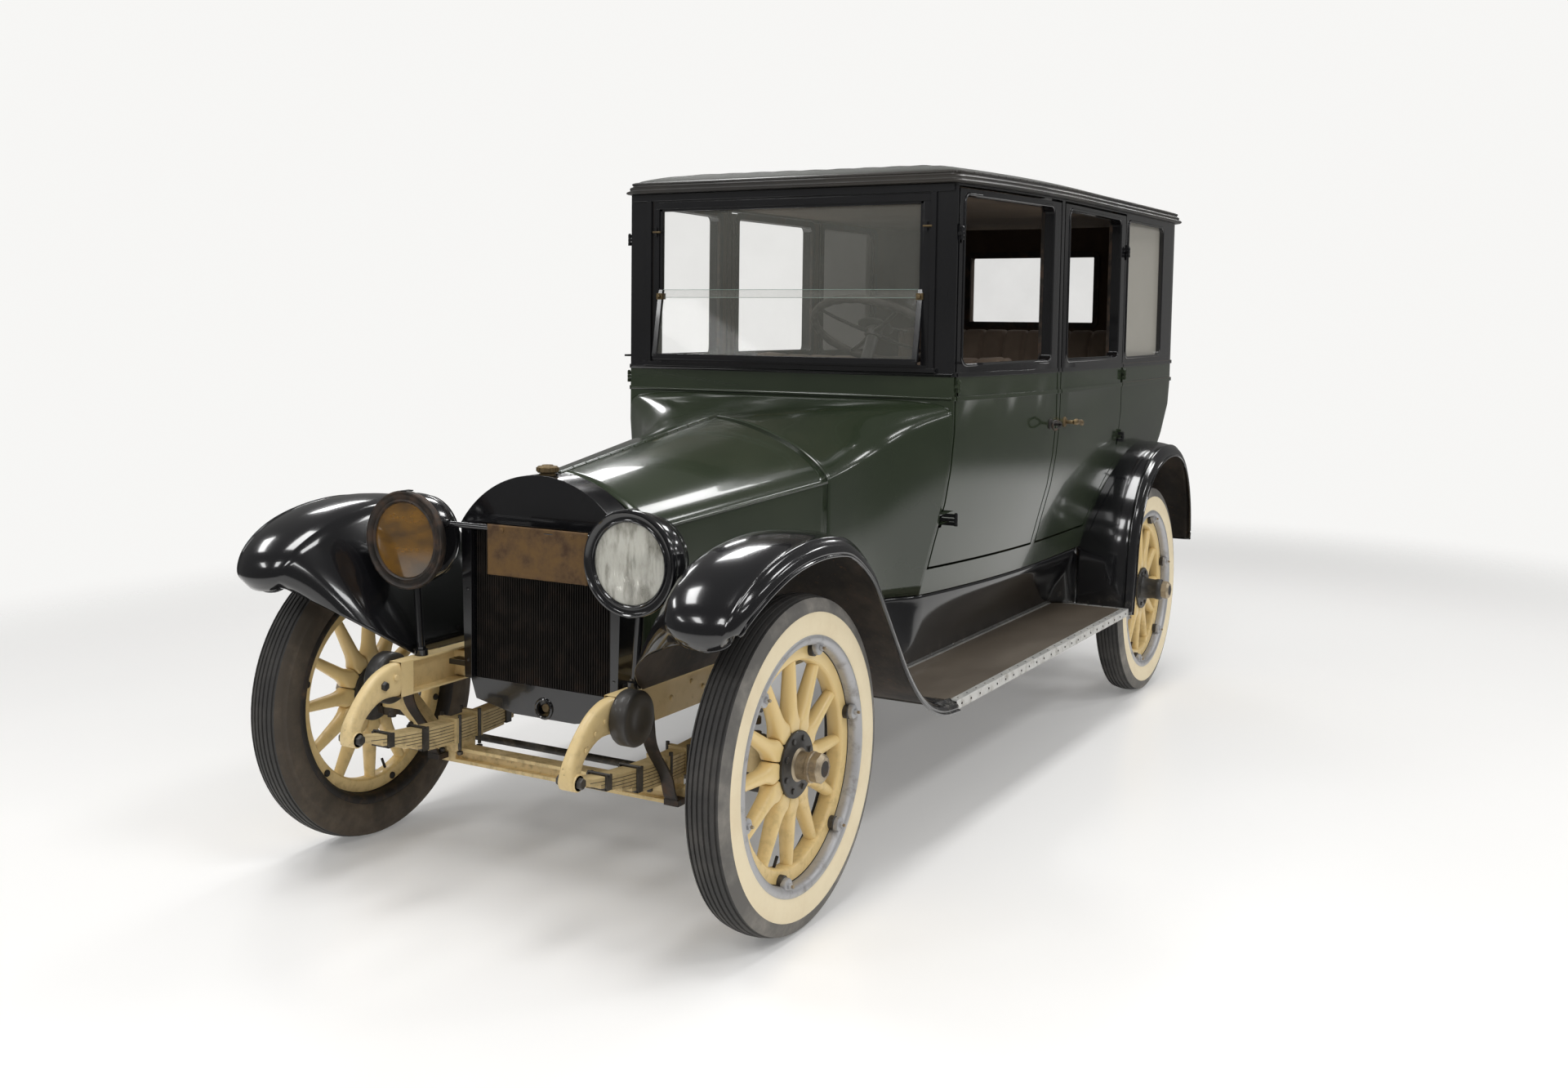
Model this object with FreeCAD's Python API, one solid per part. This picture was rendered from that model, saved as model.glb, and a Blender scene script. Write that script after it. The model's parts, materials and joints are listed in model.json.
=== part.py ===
import FreeCAD, Part
import math
import os

from FreeCAD import Vector

# A 1920s closed touring sedan, car facing -Y, its left side at +X, floor at Z = 0.
# Driving dimensions, in millimetres
wheelbase = 3150.0
track = 1422.0
tyre_radius = 432.0
tyre_width = 116.0
tyre_shoulder = 16.0
rim_radius = 318.0

# Body
body_front = -300.0
body_rear = 2215.0
body_front_half_width = 622.0
body_half_width = 712.0
body_rear_half_width = 700.0
body_wall = 40.0
body_corner_radius = 200.0
sill_height = 655.0
belt_height = 1295.0
cabin_top = 1990.0
side_tuck = 105.0
moulding_reach = 5.0
moulding_height = 14.0
rear_tuck = 270.0
roof_overhang = 24.0
roof_rise = 95.0
door_gap = 8.0
fit_gap = 0.3
running_gap = 0.05
overrun = 50.0

# Windows and doors
window_sill = 1412.0
window_top = 1955.0
door_sill = 748.0
door_top = 1974.0
front_door_start = -286.0
front_door_end = 462.0
front_window_start = -254.0
front_window_end = 392.0
rear_door_start = 503.0
rear_door_end = 1272.0
rear_window_start = 555.0
rear_window_end = 1200.0
quarter_window_start = 1312.0
quarter_window_end = 1845.0
window_corner_radius = 26.0
arch_margin = 52.0
back_window_half_width = 300.0
back_window_bottom = 1548.0
back_window_top = 1850.0
door_bevel_share = 0.06
swell_share = 0.38
waist_share = 0.84
hinge_radius = 8.0
hinge_stand_off = 12.0
hinge_length = 60.0
front_hinge_heights = (880.0, 1311.0, 1800.0)
rear_hinge_heights = (1060.0, 1311.0, 1800.0)
handle_height = 1188.0
handle_reach = 46.0
handle_length = 95.0
handle_inset = 52.0
glass_thickness = 6.0

# Windscreen
screen_half_width = 529.0
screen_bottom = 1383.0
screen_top = 1960.0
screen_rail = 24.0
screen_depth = 26.0
screen_split = 1625.0
lower_pane_kick = 46.0

# Bonnet, cowl and radiator
radiator_face = -1675.0
radiator_depth = 92.0
radiator_half_width = 269.0
radiator_shoulder = 985.0
radiator_crown = 1130.0
radiator_bottom = 549.0
radiator_lip = 24.0
core_top = 990.0
core_fin_count = 24
cap_radius = 30.0
cap_height = 28.0
apron_drop = 88.0
crank_hole_radius = 22.0
cowl_front = -745.0
cowl_half_width = 400.0
cowl_shoulder = 1058.0
cowl_crown = 1245.0
cowl_wall = 12.0
cowl_side_rise = 1190.0
bonnet_wall = 4.0
bonnet_bottom = 650.0
bonnet_gap = 6.0
bonnet_hinge_radius = 8.0
bonnet_ledge_width = 46.0
bonnet_fullness = 1.3
cowl_rear_fullness = 0.3
crown_steps = 9

# Chassis
rail_outer = 377.0
rail_width = 42.0
rail_top = 612.0
rail_bottom = 516.0
rail_wall = 5.0
frame_rear = 2150.0
frame_start = -1850.0
dumb_iron_tip = -2052.0
floor_thickness = sill_height - rail_top

# Springs and axles
spring_offset = 356.0
spring_width = 50.0
leaf_thickness = 9.0
leaf_count = 7
spring_eye_radius = 19.0
front_spring_half = 445.0
front_spring_eye_height = 460.0
front_spring_top = 402.0
front_eye_drop = 23.5
rear_spring_offset = 440.0
rear_spring_half = 560.0
rear_spring_eye_height = 585.0
rear_spring_top = 556.0
beam_height = 46.0
beam_width = 50.0
beam_bottom = 272.0
beam_web = 14.0
beam_flange = 11.0
kingpin_offset = 620.0
kingpin_radius = 13.0
kingpin_boss_radius = 27.0
kingpin_boss_height = 70.0
spindle_radius = 19.0
steering_arm = 155.0
tie_rod_height = 298.0
tie_rod_radius = 11.0
rear_tube_radius = 44.0
differential_radius = 140.0
torque_tube_radius = 38.0

# Wheels
spoke_count = 12
lug_count = 6
hub_inner = 46.0
hub_nose_front = 106.0
hub_nose_rear = 141.0
hub_radius = 44.0
hub_flange_radius = 86.0
hub_flange_thickness = 7.0
nut_radius = 36.0
nave_radius = 104.0
spoke_thickness = 46.0
spoke_root_width = 40.0
spoke_tip_width = 27.0
spoke_tip_thickness = 32.0
spoke_chamfer = 9.0
felloe_inner = 264.0
felloe_outer = 300.0
rim_thickness = 14.0
rim_half_width = 46.0
lug_radius = 19.0
lug_height = 14.0
drum_radius = 180.0
drum_width = 58.0

# Fenders and boards
fender_reach = 57.0
fender_inside = 63.0
fender_sheet = 5.0
fender_drop = 38.0
board_inner = 506.0
board_inset = 11.0
board_top = 425.0
board_thickness = 28.0
board_front = -700.0
board_rear = 1092.0
valance_plate = 4.0
wheelhouse_gap = 53.0
valance_front = -1745.0
valance_rear = -690.0

# Lamps
lamp_offset = 370.0
lamp_face = -1800.0
lamp_height = 939.0
lamp_radius = 137.0
lamp_glass_radius = 106.0
lamp_depth = 190.0
lamp_drum_radius = 126.0
lamp_rim_width = 26.0
lamp_drum_share = 0.4
lamp_back_share = 0.36
lamp_cavity_share = 0.38
lamp_post_share = 0.1
bar_height = 991.0
bar_radius = 8.0
plate_left = -99.0
plate_right = 228.0
plate_bottom = 867.0
plate_top = 1003.0
plate_thickness = 2.0

# Cabin
steering_x = 225.0
steering_y = -55.0
steering_z = 1515.0
steering_rim_radius = 215.0
steering_rim_tube = 13.0
column_radius = 21.0
column_lean_deg = 30.0
column_length = 930.0
lever_reach = 100.0
lever_height = 400.0
lever_boot_radius = 40.0

# Strap snubbers
drum_snub_radius = 72.0
drum_snub_width = 52.0
strap_radius = 7.0

# Seats
cushion_half = 560.0
seat_base_half = 470.0
front_seat_start = 20.0
front_seat_end = 560.0
front_cushion_bottom = 890.0
cushion_height = 125.0
front_back_top = 1450.0
rear_seat_start = 1340.0
rear_back_top = 1548.0
seat_wall = 18.0
back_thickness = 120.0

# Exhaust, tank and spare
exhaust_x = -240.0
muffler_radius = 78.0
pipe_radius = 24.0
tank_radius = 128.0
tank_half = 380.0
spare_height = 880.0
spare_gap = 22.0
tail_lamp_radius = 42.0
carrier_arm_share = 0.55

half_track = track / 2
fender_outer = half_track + tyre_width / 2 + fender_reach
fender_inner = half_track - tyre_width / 2 - fender_inside
wheelhouse_inner = half_track - tyre_width / 2 - wheelhouse_gap
board_outer = fender_outer - board_inset
front_axle_y = -wheelbase / 2
rear_axle_y = wheelbase / 2
X, Y, Z = Vector(1, 0, 0), Vector(0, 1, 0), Vector(0, 0, 1)
nodes = {}


def box(x0, x1, y0, y1, z0, z1):
    return Part.makeBox(x1 - x0, y1 - y0, z1 - z0, Vector(x0, y0, z0))


def rod(start, end, radius):
    line = end - start
    return Part.makeCylinder(radius, line.Length, start, line)


def plate(points, thickness):
    return Part.Face(Part.makePolygon(points + points[:1])).extrude(thickness)


def joined(*shapes):
    return shapes[0].fuse(list(shapes[1:])).removeSplitter()


def mirrored(shape):
    return shape.mirror(Vector(), X)


def both_sides(shape):
    return Part.makeCompound([shape, mirrored(shape)])


def loft(wires, ruled=True):
    return Part.makeLoft(wires, True, ruled)


def skinned(rings):
    faces = [Part.Face(Part.makePolygon(ring + ring[:1])) for ring in (rings[0], rings[-1])]
    for low, high in zip(rings, rings[1:]):
        for i in range(len(low)):
            j = (i + 1) % len(low)
            faces.append(Part.Face(Part.makePolygon([low[i], low[j], high[j], low[i]])))
            faces.append(Part.Face(Part.makePolygon([low[i], high[j], high[i], low[i]])))
    shell = Part.makeShell(faces)
    shell.sewShape()
    solid = Part.makeSolid(shell)
    if solid.Volume < 0:
        solid.reverse()
    return solid


def hexagon(centre, radius, along):
    side = X if abs(along.x) < abs(along.z) + abs(along.y) else Z
    up = along.cross(side).normalize()
    side = up.cross(along).normalize()
    turns = [math.radians(a) for a in range(0, 360, 60)]
    return plate([centre + side * radius * math.cos(a) + up * radius * math.sin(a) for a in turns], along)


def turned(points):
    ring = Part.Face(Part.makePolygon([Vector(x, 0, r) for x, r in points + points[:1]]))
    return ring.revolve(Vector(), X, 360)


def between(first, last, share):
    return first + (last - first) * share


def side_prism(points, x0, x1):
    return plate([Vector(x0, y, z) for y, z in points], Vector(x1 - x0, 0, 0))


# The body's plan at one height: sides that swell in an arc, then run straight to the round rear corners
def side_half(y):
    swell = between(body_front, body_rear, swell_share)
    if y > swell:
        share = (y - swell) / (body_rear - body_corner_radius - swell)
        return between(body_half_width, body_rear_half_width, share)
    drop = body_half_width - body_front_half_width
    return body_half_width - drop * ((swell - y) / (swell - body_front)) ** 2


def plan_wire(height, front, rear, side_in, radius):
    swell = between(body_front, body_rear, swell_share)
    places = (front, (front + swell) / 2, swell, rear - radius)
    left = [Vector(side_half(y) - side_in, y, height) for y in places]
    turn = radius * (1 - math.sqrt(0.5))
    mid = Vector(left[3].x - turn, rear - turn, height)
    corner = Vector(left[3].x - radius, rear, height)
    right = [Vector(-p.x, p.y, p.z) for p in left]
    right_mid, right_corner = Vector(-mid.x, mid.y, mid.z), Vector(-corner.x, corner.y, corner.z)
    return Part.Wire([
        Part.Arc(*left[:3]).toShape(),
        Part.LineSegment(left[2], left[3]).toShape(),
        Part.Arc(left[3], mid, corner).toShape(),
        Part.LineSegment(corner, right_corner).toShape(),
        Part.Arc(right_corner, right_mid, right[3]).toShape(),
        Part.LineSegment(right[3], right[2]).toShape(),
        Part.Arc(*right[2::-1]).toShape(),
        Part.LineSegment(right[0], left[0]).toShape(),
    ])


# Height up the lower body, and how far side and back turn in there
tuck_shares = (
    (0.0, 1.0, 1.0), (0.26, 0.61, 0.78), (0.48, 0.26, 0.5),
    (0.65, 0.095, 0.3), (0.84, 0.0, 0.08), (1.0, 0.0, 0.0),
)


def tuck_at(height):
    rows = [(between(sill_height, belt_height, share), side * side_tuck) for share, side, back in tuck_shares]
    for (low, first), (high, last) in zip(rows, rows[1:]):
        if height < high:
            return between(first, last, (height - low) / (high - low))
    return 0.0


def body_volume(inset, front, past):
    start = body_front - overrun
    wires = []
    for share, side, back in tuck_shares:
        height = between(sill_height, belt_height, share)
        wires.append(plan_wire(
            height, start, body_rear - back * rear_tuck - inset,
            side * side_tuck + inset, body_corner_radius - inset,
        ))
    lower = loft(wires)
    upper = Part.Face(wires[-1]).extrude(Vector(0, 0, cabin_top - belt_height + past))
    solid = joined(lower, upper)
    if past:
        solid = joined(solid, Part.Face(wires[0]).extrude(Vector(0, 0, -past)))
    return solid.cut(box(
        -body_half_width - overrun, body_half_width + overrun, start - overrun, front,
        sill_height - 2 * overrun, cabin_top + 2 * overrun,
    ))


def belt_moulding(height):
    wire = plan_wire(height, body_front, body_rear + moulding_reach, -moulding_reach, body_corner_radius)
    inner = plan_wire(height, body_front - overrun, body_rear - body_wall / 2, body_wall / 2, body_corner_radius)
    band = Part.Face(wire).extrude(Vector(0, 0, moulding_height))
    return band.cut(Part.Face(inner).extrude(Vector(0, 0, moulding_height)))


# Fender paths in side view, front to back, as shares of wheelbase from the wheel's centre
front_fender_shares = (
    (-0.134, 0.112), (-0.1455, 0.130), (-0.1365, 0.1505), (-0.1125, 0.1685), (-0.078, 0.182), (-0.0375, 0.1895),
    (0.0045, 0.1905), (0.046, 0.1835), (0.087, 0.158), (0.116, 0.1215), (0.1445, 0.082), (0.170, 0.050),
    (0.2016, 0.0215), (0.2397, 0.0045),
)
rear_fender_shares = (
    (-0.1508, 0.0406), (-0.1445, 0.085), (-0.1286, 0.1216), (-0.0984, 0.1565),
    (-0.0587, 0.1819), (-0.0143, 0.1946), (0.0302, 0.1978), (0.0714, 0.1914), (0.1064, 0.1724),
    (0.1302, 0.1422), (0.1445, 0.1041), (0.1492, 0.066), (0.1477, 0.0533),
)
# Across a fender from its inner edge: place, and drop below the crown
fender_section_shares = (
    (0.0, 0.5), (0.12, 0.22), (0.3, 0.04), (0.48, 0.0), (0.66, 0.06), (0.82, 0.25), (0.94, 0.56), (1.0, 1.0),
)
fender_stations = 33
nose_stations = 7
flat_share = 0.006


def front_fender_points():
    tail = (board_front - fit_gap - front_axle_y) / wheelbase
    return front_fender_shares + ((tail, 0.0),)


def rear_fender_points():
    foot = (board_rear + fit_gap - rear_axle_y) / wheelbase
    return ((foot, -board_thickness / wheelbase),) + rear_fender_shares


def fender_path(shares, axle_y):
    points = [Vector(0, axle_y + y * wheelbase, board_top + z * wheelbase) for y, z in shares]
    curve = Part.BSplineCurve()
    curve.interpolate(points)
    first, last = curve.FirstParameter, curve.LastParameter
    path = []
    for i in range(fender_stations):
        t = between(first, last, i / (fender_stations - 1))
        tangent = curve.tangent(t)[0]
        path.append((curve.value(t), Vector(0, -tangent.z, tangent.y).normalize()))
    return path


def fender_sheet_solid(path, inner_edges, outer_edges, drops, inner_share):
    rings = []
    for (point, normal), inner, outer, drop in zip(path, inner_edges, outer_edges, drops):
        top = []
        for place, share in fender_section_shares:
            down = drop * share * (inner_share if place < 0.48 else 1.0)
            top.append(Vector(between(inner, outer, place), point.y, point.z) - normal * down)
        low = [p - normal * fender_sheet for p in top[:-1]]
        rings.append(top + [top[-1] - X * fender_sheet] + low[::-1])
    return skinned(rings)


def under_path(path, offset, floor_z):
    points = [(p.y + n.y * offset, p.z + n.z * offset) for p, n in path]
    points = [(y, z) for y, z in points if z > floor_z]
    return [(points[0][0], floor_z)] + points + [(points[-1][0], floor_z)]


def front_fender():
    path = fender_path(front_fender_points(), front_axle_y)
    count = len(path)
    inner, outer, drops = [], [], []
    for i in range(count):
        share = i / (count - 1)
        round_nose = math.sqrt(1 - (1 - min(1.0, (i + 1.0) / nose_stations)) ** 2)
        inner.append(fender_inner + (1 - round_nose) * tyre_width * 0.8)
        outer.append(fender_outer - (1 - round_nose) * tyre_width * 0.8)
        drops.append(fender_drop * min(1.0, between(1.0, flat_share, (share - 0.5) * 2)))
    sheet = fender_sheet_solid(path, inner, outer, drops, 1.0)
    region = under_path(path, -fender_sheet * 2, rail_top)
    wall = side_prism(region, rail_outer - fender_sheet, fender_inner + tyre_width)
    lean = (fender_inner - rail_outer) / (lamp_height - rail_top)
    far = rail_outer + lean * (radiator_crown - rail_top)
    slab = plate([
        Vector(rail_outer, valance_front, rail_top),
        Vector(rail_outer + valance_plate, valance_front, rail_top),
        Vector(far + valance_plate, valance_front, radiator_crown),
        Vector(far, valance_front, radiator_crown),
    ], Vector(0, valance_rear - valance_front, 0))
    return joined(sheet, wall.common(slab))


def rear_fender():
    path = fender_path(rear_fender_points(), rear_axle_y)
    count = len(path)
    sheet = fender_sheet_solid(
        path, [wheelhouse_inner] * count, [fender_outer] * count, [fender_drop] * count, 0.0,
    )
    house = side_prism(
        under_path(path, -fender_sheet / 2, rail_top), wheelhouse_inner, wheelhouse_inner + valance_plate,
    )
    return joined(sheet, house)


def arch_notch(offset, x_start):
    path = fender_path(rear_fender_points(), rear_axle_y)
    return side_prism(under_path(path, offset, board_top), x_start, fender_outer + overrun)


# Roof edge and the inset and height of each level of its crown
drip_share = 0.24
roof_crown_shares = ((0.0, 0.0), (0.0, 0.42), (0.1, 0.64), (0.26, 0.84), (0.5, 0.96), (0.72, 1.0))


# Body shell with its doors
def door_region(start, end, grow, hinge_at_rear):
    low, high = door_sill - grow, door_top + grow
    y0, y1 = start - grow, end + grow
    lean = body_half_width * door_bevel_share if hinge_at_rear else 0.0
    points = [
        Vector(0, y0 + lean, low), Vector(body_half_width + overrun, y0, low),
        Vector(body_half_width + overrun, y1, low), Vector(0, y1, low),
    ]
    region = plate(points, Vector(0, 0, high - low))
    if hinge_at_rear:
        region = region.cut(arch_notch(arch_margin - grow, 0.0))
    return region.cut(side_core(body_wall + grow))


def side_core(inset):
    return body_volume(inset, body_front - overrun, overrun)


def window_block(start, end):
    block = box(0.0, body_half_width + overrun, start, end, window_sill, window_top)
    edges = [e for e in block.Edges if abs(e.Vertexes[0].Point.x - e.Vertexes[-1].Point.x) > body_wall]
    return block.makeFillet(window_corner_radius, edges)


def hinge_axis(hinge_at_rear):
    y = rear_door_end + door_gap / 2 if hinge_at_rear else front_door_start - door_gap / 2
    return side_half(y) + hinge_stand_off, y


def hinge_leaves(hinge_at_rear, heights, way, low_share, high_share):
    x, y = hinge_axis(hinge_at_rear)
    leaves = []
    for height in heights:
        z0, z1 = height + hinge_length * low_share, height + hinge_length * high_share
        reach = x - hinge_stand_off - tuck_at(height) - body_wall / 2
        y0, y1 = sorted((y, y + way * (hinge_radius + door_gap)))
        leaves.append(Part.makeCylinder(hinge_radius, z1 - z0, Vector(x, y, z0)))
        leaves.append(box(reach, x, y0, y1, z0, z1))
    return leaves


def door(shell, start, end, window_start, window_end, hinge_at_rear, heights):
    way = -1 if hinge_at_rear else 1
    panel = shell.common(door_region(start, end, 0.0, hinge_at_rear))
    panel = panel.cut(window_block(window_start, window_end))
    handle_y = start + handle_inset if hinge_at_rear else end - handle_inset
    surface = side_half(handle_y)
    knee = Vector(surface + handle_reach, handle_y, handle_height)
    stem = rod(knee - X * (handle_reach + body_wall / 2), knee, hinge_radius)
    lever = rod(knee, knee - Y * way * handle_length, hinge_radius)
    return joined(panel, stem, lever, *hinge_leaves(hinge_at_rear, heights, way, 0.0, 0.5))


def body_shell(hollow):
    upper_share = 0.5 + fit_gap / hinge_length
    posts = joined(
        *hinge_leaves(False, front_hinge_heights, -1, upper_share, 1.0),
        *hinge_leaves(True, rear_hinge_heights, 1, upper_share, 1.0),
    )
    near_front = box(0.0, body_half_width + overrun, body_front, body_rear, sill_height, cabin_top)
    left_cuts = [
        door_region(front_door_start, front_door_end, door_gap, False),
        door_region(rear_door_start, rear_door_end, door_gap, True),
        window_block(quarter_window_start, quarter_window_end),
        arch_notch(fit_gap, wheelhouse_inner - fit_gap),
    ]
    shell = hollow
    for cut in left_cuts:
        shell = shell.cut(cut).cut(mirrored(cut))
    screen = box(
        -screen_half_width, screen_half_width, body_front - overrun, body_front + body_wall + overrun,
        screen_bottom, screen_top,
    )
    legs = box(
        -cowl_half_width - body_wall, cowl_half_width + body_wall, body_front - overrun,
        body_front + body_wall + overrun, sill_height - overrun, belt_height - body_wall,
    )
    back = box(
        -back_window_half_width, back_window_half_width, body_rear - 2 * body_wall,
        body_rear + overrun, back_window_bottom, back_window_top,
    )
    posts = posts.common(near_front)
    return joined(shell.cut(screen).cut(legs).cut(back), posts, mirrored(posts))


def roof():
    def layer(overhang, low, high):
        wire = plan_wire(low, body_front - overhang, body_rear + overhang, -overhang, body_corner_radius)
        return Part.Face(wire).extrude(Vector(0, 0, high - low))

    drip = layer(roof_overhang, cabin_top, cabin_top + roof_rise * drip_share)
    wires = []
    for inset_share, height_share in roof_crown_shares:
        inset = inset_share * body_half_width
        wires.append(plan_wire(
            cabin_top + roof_rise * height_share, body_front + inset, body_rear - inset, inset,
            body_corner_radius * (1 - inset_share),
        ))
    return joined(drip, loft(wires))


def floor():
    wire = plan_wire(
        rail_top, body_front + fit_gap, body_rear - rear_tuck - fit_gap, side_tuck + body_wall / 2, body_corner_radius,
    )
    boards = Part.Face(wire).extrude(Vector(0, 0, floor_thickness - fit_gap))
    fore = box(
        -cowl_half_width + cowl_wall, cowl_half_width - cowl_wall, cowl_front, body_front + overrun,
        rail_top, sill_height - fit_gap,
    )
    boards = joined(boards, fore)
    notch = arch_notch(fit_gap, wheelhouse_inner - fit_gap)
    boards = boards.cut(notch).cut(mirrored(notch))
    toe_low, toe_high = body_front - body_wall, cowl_front + 2 * body_wall
    rise = cowl_shoulder - 3 * body_wall
    half = cowl_half_width - 3 * cowl_wall
    toe = plate([
        Vector(-half, toe_low, sill_height - body_wall / 2), Vector(-half, toe_low - body_wall, sill_height - body_wall / 2),
        Vector(-half, toe_high, rise), Vector(-half, toe_high + body_wall / 2, rise),
    ], Vector(2 * half, 0, 0))
    return joined(boards, toe).cut(column(column_radius + fit_gap))


# Bonnet and cowl share one kind of section: a straight side and a crown that turns in a power curve
def crown_points(y, half, shoulder, crown, fullness, inset):
    points = []
    for i in range(crown_steps + 1):
        turn = math.pi / 2 * i / crown_steps
        x = (half - inset) * math.cos(turn) ** fullness
        z = shoulder + (crown - inset - shoulder) * math.sin(turn) ** fullness
        points.append(Vector(x, y, z))
    return points


def section(y, bottom_z, half, tuck, shoulder, crown, fullness, inset):
    side_top = (belt_height - sill_height) * waist_share
    left = [
        Vector(half - tuck * side - inset, y, between(bottom_z, shoulder, share * (belt_height - sill_height) / side_top))
        for share, side, back in tuck_shares[:4]
    ]
    left += crown_points(y, half, shoulder, crown, fullness, inset)
    return left + [Vector(-p.x, p.y, p.z) for p in left[-2::-1]]


# How far along the cowl, how wide, how high and how square it has become
cowl_shares = (
    (0.0, 0.0, 0.0, 0.0), (0.22, 0.03, 0.12, 0.05), (0.44, 0.11, 0.3, 0.2), (0.62, 0.25, 0.5, 0.42),
    (0.77, 0.46, 0.7, 0.66), (0.89, 0.72, 0.87, 0.85), (1.0, 1.0, 1.0, 1.0),
)


def cowl_volume(inset, bottom_z):
    rings = []
    for along, wide, high, square in cowl_shares:
        rings.append(section(
            between(cowl_front, body_front - fit_gap, along), bottom_z,
            between(cowl_half_width, body_front_half_width, wide), side_tuck * wide,
            between(cowl_shoulder, cowl_side_rise, high),
            between(cowl_crown, belt_height - fit_gap, high),
            between(bonnet_fullness, cowl_rear_fullness, square), inset,
        ))
    return skinned(rings)


def cowl():
    shell = cowl_volume(0.0, sill_height).cut(cowl_volume(cowl_wall, sill_height - overrun))
    ring = section(
        cowl_front, sill_height, cowl_half_width, 0.0, cowl_shoulder, cowl_crown, bonnet_fullness, cowl_wall / 2,
    )
    firewall = plate(ring, Vector(0, cowl_wall, 0))
    return joined(shell, firewall)


def bonnet_shell():
    front = radiator_face + radiator_depth + bonnet_gap
    rear = cowl_front - bonnet_gap

    def ring(y, inset, bottom_z):
        share = (y - front) / (cowl_front - front)
        half = between(radiator_half_width, cowl_half_width, share)
        return section(
            y, bottom_z, half, 0.0, between(radiator_shoulder, cowl_shoulder, share),
            between(radiator_crown, cowl_crown, share), bonnet_fullness, inset,
        )

    outer = skinned([ring(front, 0.0, bonnet_bottom), ring(rear, 0.0, bonnet_bottom)])
    inner = skinned([ring(front - bonnet_gap, bonnet_wall, bonnet_bottom - overrun),
                     ring(rear + bonnet_gap, bonnet_wall, bonnet_bottom - overrun)])
    return outer.cut(inner)


def bonnet_crest(y):
    front = radiator_face + radiator_depth + bonnet_gap
    share = (y - front) / (cowl_front - front)
    return between(radiator_crown, cowl_crown, share)


def bonnet_half(shell):
    edge = bonnet_hinge_radius + fit_gap
    return shell.common(box(
        edge, cowl_half_width + overrun, radiator_face, cowl_front + overrun,
        bonnet_bottom - overrun, cowl_crown + overrun,
    ))


def bonnet_hinge():
    front, rear = radiator_face + radiator_depth + fit_gap, cowl_front
    drop = Vector(0, 0, -bonnet_wall / 2)
    return rod(
        Vector(0, front, bonnet_crest(front)) + drop, Vector(0, rear, bonnet_crest(rear)) + drop,
        bonnet_hinge_radius,
    )


def bonnet_ledge():
    front, rear = radiator_face + radiator_depth + fit_gap, cowl_front - fit_gap
    z = rail_top + fit_gap
    return plate([
        Vector(radiator_half_width, front, z), Vector(cowl_half_width, rear, z),
        Vector(cowl_half_width - bonnet_ledge_width, rear, z),
        Vector(radiator_half_width - bonnet_ledge_width, front, z),
    ], Vector(0, 0, bonnet_bottom - bonnet_gap - z))


def radiator_outline(y, inset):
    half, shoulder, crown = radiator_half_width - inset, radiator_shoulder, radiator_crown - inset
    bottom = radiator_half_width * 0.955 - inset
    left, right = Vector(half, y, shoulder), Vector(-half, y, shoulder)
    radius = (half ** 2 + (crown - shoulder) ** 2) / (2 * (crown - shoulder))
    mid_x = half * 0.6
    mid_z = crown - radius + math.sqrt(radius ** 2 - mid_x ** 2)
    return Part.Wire([
        Part.LineSegment(Vector(-bottom, y, radiator_bottom), Vector(bottom, y, radiator_bottom)).toShape(),
        Part.LineSegment(Vector(bottom, y, radiator_bottom), left).toShape(),
        Part.Arc(left, Vector(mid_x, y, mid_z), Vector(0, y, crown)).toShape(),
        Part.Arc(Vector(0, y, crown), Vector(-mid_x, y, mid_z), right).toShape(),
        Part.LineSegment(right, Vector(-bottom, y, radiator_bottom)).toShape(),
    ])


def radiator_shell():
    body = Part.Face(radiator_outline(radiator_face, 0.0)).extrude(Vector(0, radiator_depth, 0))
    half = radiator_half_width * 0.955 - radiator_lip
    window = box(-half, half, radiator_face - overrun, radiator_face + radiator_depth + overrun,
                 radiator_bottom - overrun, core_top)
    shell = body.cut(window)
    bottom = radiator_half_width * 0.955
    side_apron = plate([
        Vector(-bottom, radiator_face + radiator_lip, radiator_bottom),
        Vector(bottom, radiator_face + radiator_lip, radiator_bottom),
        Vector(bottom * 0.92, radiator_face + radiator_lip, radiator_bottom - apron_drop * 0.7),
        Vector(bottom * 0.4, radiator_face + radiator_lip, radiator_bottom - apron_drop),
        Vector(-bottom * 0.4, radiator_face + radiator_lip, radiator_bottom - apron_drop),
        Vector(-bottom * 0.92, radiator_face + radiator_lip, radiator_bottom - apron_drop * 0.7),
    ], Vector(0, radiator_depth - 2 * radiator_lip, 0))
    hole_z = radiator_bottom - apron_drop * 0.68
    hole = rod(Vector(0, radiator_face - overrun, hole_z),
               Vector(0, radiator_face + radiator_depth + overrun, hole_z), crank_hole_radius)
    foot = box(
        bottom - radiator_lip, rail_outer - rail_width - fit_gap, radiator_face + radiator_lip,
        radiator_face + radiator_depth - radiator_lip, radiator_bottom + radiator_lip, rail_top - radiator_lip,
    )
    cap_y = radiator_face + radiator_lip + cap_radius / 2
    cap = Part.makeCylinder(cap_radius, cap_height + radiator_lip, Vector(0, cap_y, radiator_crown - radiator_lip))
    return joined(shell, side_apron.cut(hole), foot, mirrored(foot), cap)


def radiator_core():
    half = radiator_half_width * 0.955 - radiator_lip - fit_gap
    top = core_top - fit_gap
    back = box(-half, half, radiator_face + radiator_depth * 0.45, radiator_face + radiator_depth * 0.9,
               radiator_bottom + fit_gap, top)
    pitch = 2 * half / core_fin_count
    fins = [back]
    for i in range(core_fin_count):
        x = -half + (i + 0.5) * pitch
        fins.append(box(x - pitch * 0.22, x + pitch * 0.22, radiator_face + radiator_lip / 2,
                        radiator_face + radiator_depth / 2, radiator_bottom + fit_gap, top))
    return joined(*fins)


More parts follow.
